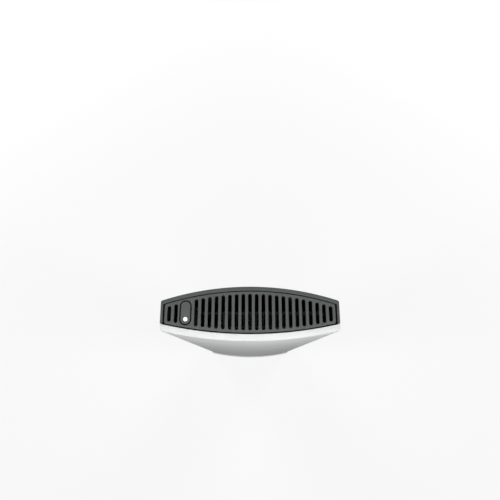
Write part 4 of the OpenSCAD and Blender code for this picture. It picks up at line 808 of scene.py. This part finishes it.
# Moulded ABS with a finer grain than the shell's, so that the thin slats catch an even soft light. All
# but its flat top is painted black as shade, so that the slots and seams show dark.
make_piece("grille_slatted", grille_parts,
           mottled("matt_dark_abs", "#505352", "#5a5d5c", 0.0004, 0.68, 0.15, IOR=1.42),
           "column", "dark_grille", "top_grille",
           shaded_faces=(painted_shade_black, lambda centres: centres[:, 2] < grille_high.z - 0.2 * slot_ease))

# Power button
# A satin dark ABS key with round ends, a stem below it and a hole for the light. A flange under the
# grille keeps it in, and it moves straight down by less than a millimetre.
flange_half_w = (button_high.x - button_low.x) / 2
flange_half_l = (button_high.y - button_low.y) / 2
flange_top = 0.3572
cap_inset = 0.0009
cap_ease = 0.00015
stem_r = 0.0018
stem_tall = 0.0098
stem_y = button_y + 0.0022
pipe_low, pipe_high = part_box("light_pipe")
pipe_r = (pipe_high.x - pipe_low.x) / 2
pipe_y = (pipe_low.y + pipe_high.y) / 2
pipe_hole = (button_x, pipe_y, pipe_r + 0.0001, pipe_r + 0.0001)
button_parts = []
# Inset, top and thickness of cap and flange.
for inset, top, thick in ((cap_inset, button_high.z, 0.0029), (0.0, flange_top, 0.0016)):
    wide = flange_half_w - inset
    edges = round_edge(wide, flange_half_l - inset, wide, (button_x, button_y))
    plate = eased_plate(round_columns(wide, wide, button_x), edges, [[pipe_hole]], cap_ease, thick)
    button_parts += moved(plate, (0, 0, top))
stem = [(0, 0), (0.0016, 0), (stem_r, 0.0002), (stem_r, stem_tall), (0, stem_tall)]
button_parts += turned(stem, (button_x, stem_y, button_low.z))
# A satin-polished mould gives the key a closer grain and a soft sheen.
# Below its face the key is painted black as shade, so that the ring round it shows dark.
make_piece("power_key", button_parts,
           mottled("satin_dark_abs", "#505352", "#595c5b", 0.0004, 0.6, 0.1, IOR=1.42),
           "power_button", "dark_button", "power_button",
           shaded_faces=(painted_shade_black, lambda centres: centres[:, 2] < button_high.z - 0.2 * cap_ease))

# Power light
# A rod of milky acrylic, set in the key's hole, that carries the light of the lamp on the button board
# up to the key's face. Its polished end shows there as a white dot.


def milky_acrylic(name, colour, glow):
    """Opal acrylic: light scatters just under a glossy skin, so it looks white and slightly lit."""
    material, shader, place = begin_finish(
        name, IOR=1.49, Roughness=0.22, Subsurface_Weight=0.2, Subsurface_Scale=0.0008,
        Emission_Strength=glow, Emission_Color=linear("#f4fbff"))
    haze = add_node(material, "TexNoise", {"Vector": place, "Scale": 1 / 0.0009, "Detail": 2.0})
    tint = add_node(material, "ValToRGB", {"Fac": haze}, [(0.3, colour), (0.7, "#f7f9fa")])
    fill(material, shader, {"Base Color": tint})
    return material


opal = milky_acrylic("opal_acrylic", "#eceff0", 0.35)
dome_foot = pipe_high.z - pipe_low.z - 0.00025
dome_tall = 0.00022
pipe_profile = [(0, 0), (pipe_r, 0)]
for a in np.linspace(0, math.pi / 2, 7):
    pipe_profile.append((pipe_r * math.cos(a), dome_foot + dome_tall * math.sin(a)))
make_piece("light_rod", turned(pipe_profile, (button_x, pipe_y, pipe_low.z)), opal,
           "power_button", "light_dot", "light_pipe")
dress(opal, "power_light")

# Rear cover
# A silver-white lacquered ABS skin, painted black inside as shade, that slides on from behind. Its top
# is a crowned rim that slopes down to the rear, its wall is hollow, and small tongues guide it into the
# shell.
cover_low, cover_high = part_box("rear_cover")
cover_deep = 0.00375
cover_wall = 0.0022
cover_corner = 0.0014
crown_drop = 0.0015
crown_r = (cover_deep**2 + crown_drop**2) / (2 * crown_drop)
hollow_top = 0.3563
foot_rail_top = 0.0067
foot_rail_deep = 0.0036
return_x = half_w - end_wall
edge_ease = 0.0003
gap_ease = 0.0001
tongue_zs = (0.026, 0.1314, 0.2194)
tongue_xs = (-0.0483, 0.0471)
tongue_size = np.array([0.0012, 0.006, 0.014])


def crown_at(points):
    """Height of the rim: a circle of radius crown_r in the inset from the rear arc, level at full depth."""
    inset = rear_r - np.hypot(points[..., 0], points[..., 1] - rear_cy)
    back = np.clip(cover_deep - inset, 0, crown_r)
    return cover_high.z - crown_r + np.sqrt(crown_r**2 - back**2)


def cover_stations():
    """Pairs of plan points, outer and inner, along the cover: end face, corner, rear arc, and mirrored.

    On the arc a pair lies on one radius. Before it all pairs share the end of the inner arc.
    """
    inner_half = half_w - cover_corner
    middle_y = rear_cy - math.sqrt((rear_r - cover_corner) ** 2 - inner_half**2)
    inner_end = np.array([half_w, rear_at(half_w, cover_deep)])
    start = math.atan2(inner_half, rear_cy - middle_y)
    bend = np.linspace(0, math.pi / 2 - start, 9)
    corner = np.stack([inner_half + cover_corner * np.cos(bend), middle_y - cover_corner * np.sin(bend)], 1)
    end_face = inner_end + np.linspace(0, 1, 4)[:-1, None] * (corner[0] - inner_end)
    edge = np.arcsin(return_x / (rear_r - cover_deep))
    angle = np.linspace(start, edge, 5)
    angle = np.concatenate([angle, np.linspace(edge, -edge, 61), -angle[::-1]])
    ray = np.stack([np.sin(angle), -np.cos(angle)], 1)
    arc_out = (0, rear_cy) + rear_r * ray
    arc_in = (0, rear_cy) + (rear_r - cover_deep) * ray
    arc_in[:, 0] = np.clip(arc_in[:, 0], -half_w, half_w)
    arc_in[0] = inner_end
    arc_in[-1] = inner_end * (-1, 1)
    side_out = np.concatenate([end_face, corner[:-1]])
    side_in = np.tile(inner_end, (len(side_out), 1))
    outer = np.concatenate([side_out, arc_out, side_out[::-1] * (-1, 1)])
    inner = np.concatenate([side_in, arc_in, side_in[::-1] * (-1, 1)])
    solid = np.ones(len(outer), bool)
    solid[len(side_out) + 5:-len(side_out) - 5] = False
    return outer, inner, solid


def bent(start, corner, end, steps):
    """Rows of an eased edge: a parabola from start to end whose tangents meet in the corner."""
    s = np.linspace(0, 1, steps)[:, None, None]
    return (1 - s) ** 2 * start + 2 * s * (1 - s) * corner + s**2 * end


cover_out, cover_in, cover_solid = cover_stations()


def cover_row(depth, height=None):
    """Points of all stations at a depth from the outside, on the crown or at a height."""
    share = np.broadcast_to(np.asarray(depth, float) / cover_deep, len(cover_out))[:, None]
    plan = cover_out + share * (cover_in - cover_out)
    z = crown_at(plan) if height is None else np.full(len(plan), height)
    return np.concatenate([plan, z[:, None]], 1)


outer_edge = bent(cover_row(0) - (0, 0, edge_ease), cover_row(0), cover_row(edge_ease), 6)
inner_edge = bent(cover_row(cover_deep - gap_ease), cover_row(cover_deep),
                  cover_row(cover_deep) - (0, 0, gap_ease), 5)
crown_rows = np.stack([cover_row(d) for d in np.linspace(edge_ease, cover_deep - gap_ease, 9)[1:-1]])
hollow = np.where(cover_solid, cover_deep, cover_wall)
foot_rail = np.where(cover_solid, cover_deep, foot_rail_deep)
cover_rows = np.concatenate([
    [cover_row(0, cover_low.z)], outer_edge, crown_rows, inner_edge,
    [cover_row(cover_deep, hollow_top), cover_row(hollow, hollow_top), cover_row(hollow, foot_rail_top),
     cover_row(foot_rail, foot_rail_top), cover_row(foot_rail, cover_low.z)]])
cover_grid = cover_rows.transpose(1, 0, 2)
cover_parts = [(cover_grid.reshape(-1, 3), quads_of(*cover_grid.shape[:2], closed=True))]


def inside_cover(centres):
    """Faces painted black as shade: deeper in than the wall and below the rim's surface, or on its front
    edge.
    """
    inset = rear_r - np.hypot(centres[:, 0], centres[:, 1] - rear_cy)
    under = centres[:, 2] < crown_at(centres[:, :2]) - 0.0002
    return (inset > 0.95 * cover_wall) & under | (inset > cover_deep - gap_ease)


tongue_y = float(rear_at(return_x, cover_wall / 2))
for tongue_z in tongue_zs:
    for tongue_x in tongue_xs:
        low = np.array([tongue_x, tongue_y, tongue_z])
        cover_parts += block(low, low + tongue_size)
make_piece("rear_cover_lacquered", cover_parts,
           sprayed_lacquer("silver_white_lacquer_on_abs", "#e2e4e3", "#eaecec"),
           "rear_cover", "silver_cover", "rear_cover", crease=30.0, shaded_faces=(painted_shade_black, inside_cover))

# Floor and light
# A plain pale floor that keeps a soft shadow, a small soft lamp close behind and above the column, large
# ones above, before and behind it on both sides, and an even surround that is white where seen.
scene = bpy.context.scene
floor_mesh = bpy.data.meshes.new("floor")
floor_edge = 4.0
floor_z = -0.0002
corners = [(x, y, floor_z) for x in (-floor_edge, floor_edge) for y in (-floor_edge, floor_edge)]
floor_mesh.from_pydata(corners, [], [(0, 2, 3, 1)])
floor = bpy.data.objects.new("floor", floor_mesh)
scene.collection.objects.link(floor)


def seen_as_white(material):
    """1 for rays that see a thing straight, mirrored or through glass, and 0 for rays that light."""
    path = add_node(material, "LightPath")
    rays = [path.outputs[f"Is {kind} Ray"] for kind in ("Camera", "Glossy", "Transmission")]
    some = add_node(material, "Math", {0: rays[0], 1: rays[1]}, operation="MAXIMUM")
    return add_node(material, "Math", {0: some, 1: rays[2]}, operation="MAXIMUM")


pale_card = bpy.data.materials.new("pale_studio_card")
pale_card.use_nodes = True
pale_card.node_tree.nodes.clear()
card = add_node(pale_card, "BsdfDiffuse", {"Color": linear("#8c8c8c")})
place = add_node(pale_card, "TexCoord").outputs["Object"]
away = add_node(pale_card, "VectorMath", {0: place}, operation="LENGTH")
level = add_node(pale_card, "MapRange", {
    "Value": away.outputs["Value"], "From Min": 0.3, "From Max": 1.5, "To Min": 0.76, "To Max": 0.99},
    interpolation_type="SMOOTHSTEP")
lift = add_node(pale_card, "Math", {0: seen_as_white(pale_card), 1: level}, operation="MULTIPLY")
glow = add_node(pale_card, "Emission", {"Color": linear("#ffffff"), "Strength": lift})
together = add_node(pale_card, "AddShader", {0: card, 1: glow})
add_node(pale_card, "OutputMaterial", {"Surface": together})
floor_mesh.materials.append(pale_card)

surround = bpy.data.worlds.new("studio_surround")
surround.use_nodes = True
surround.node_tree.nodes.clear()
ambient = add_node(surround, "MapRange", {"Value": seen_as_white(surround), "To Min": 0.065, "To Max": 1.0})
sky = add_node(surround, "Background", {"Color": linear("#ffffff"), "Strength": ambient})
add_node(surround, "OutputWorld", {"Surface": sky})
scene.world = surround


def softbox(name, place, target, size, power):
    """Square lamp at a place, turned to face the target."""
    lamp = bpy.data.lights.new(name, "AREA")
    lamp.shape = "SQUARE"
    lamp.size = size
    lamp.energy = power
    holder = bpy.data.objects.new(name, lamp)
    holder.location = place
    x, y, z = np.subtract(target, place)
    holder.rotation_euler = (math.atan2(math.hypot(x, y), -z), 0, math.atan2(-x, y))
    holder.visible_camera = False
    scene.collection.objects.link(holder)


softbox("key_softbox", (0.0, -0.15, 0.5), (0.0, -0.015, 0.36), 0.1, 0.25)
for s in (-1, 1):
    softbox("top_softbox", (s * 1.0, -0.25, 1.3), (0.0, 0.0, 0.2), 0.5, 6.3)
    softbox("front_fill_softbox", (s * 0.7, 0.9, 0.28), (0.0, 0.0, 0.2), 0.5, 6.2)
    softbox("rear_fill_softbox", (s * 0.55, -0.6, 0.62), (0.0, 0.0, 0.3), 0.3, 0.42)

# Camera
# It stands where the photograph was taken from: behind and above the column, looking steeply down.
lens = bpy.data.cameras.new("camera")
lens.lens = 30.208
lens.sensor_width = 36.0
lens.clip_start = 0.01
camera = bpy.data.objects.new("camera", lens)
camera.location = (0.0, -0.02883, 0.59673)
camera.rotation_euler = (math.radians(15.52), 0.0, 0.0)
scene.collection.objects.link(camera)
scene.camera = camera
scene.view_settings.view_transform = "Standard"
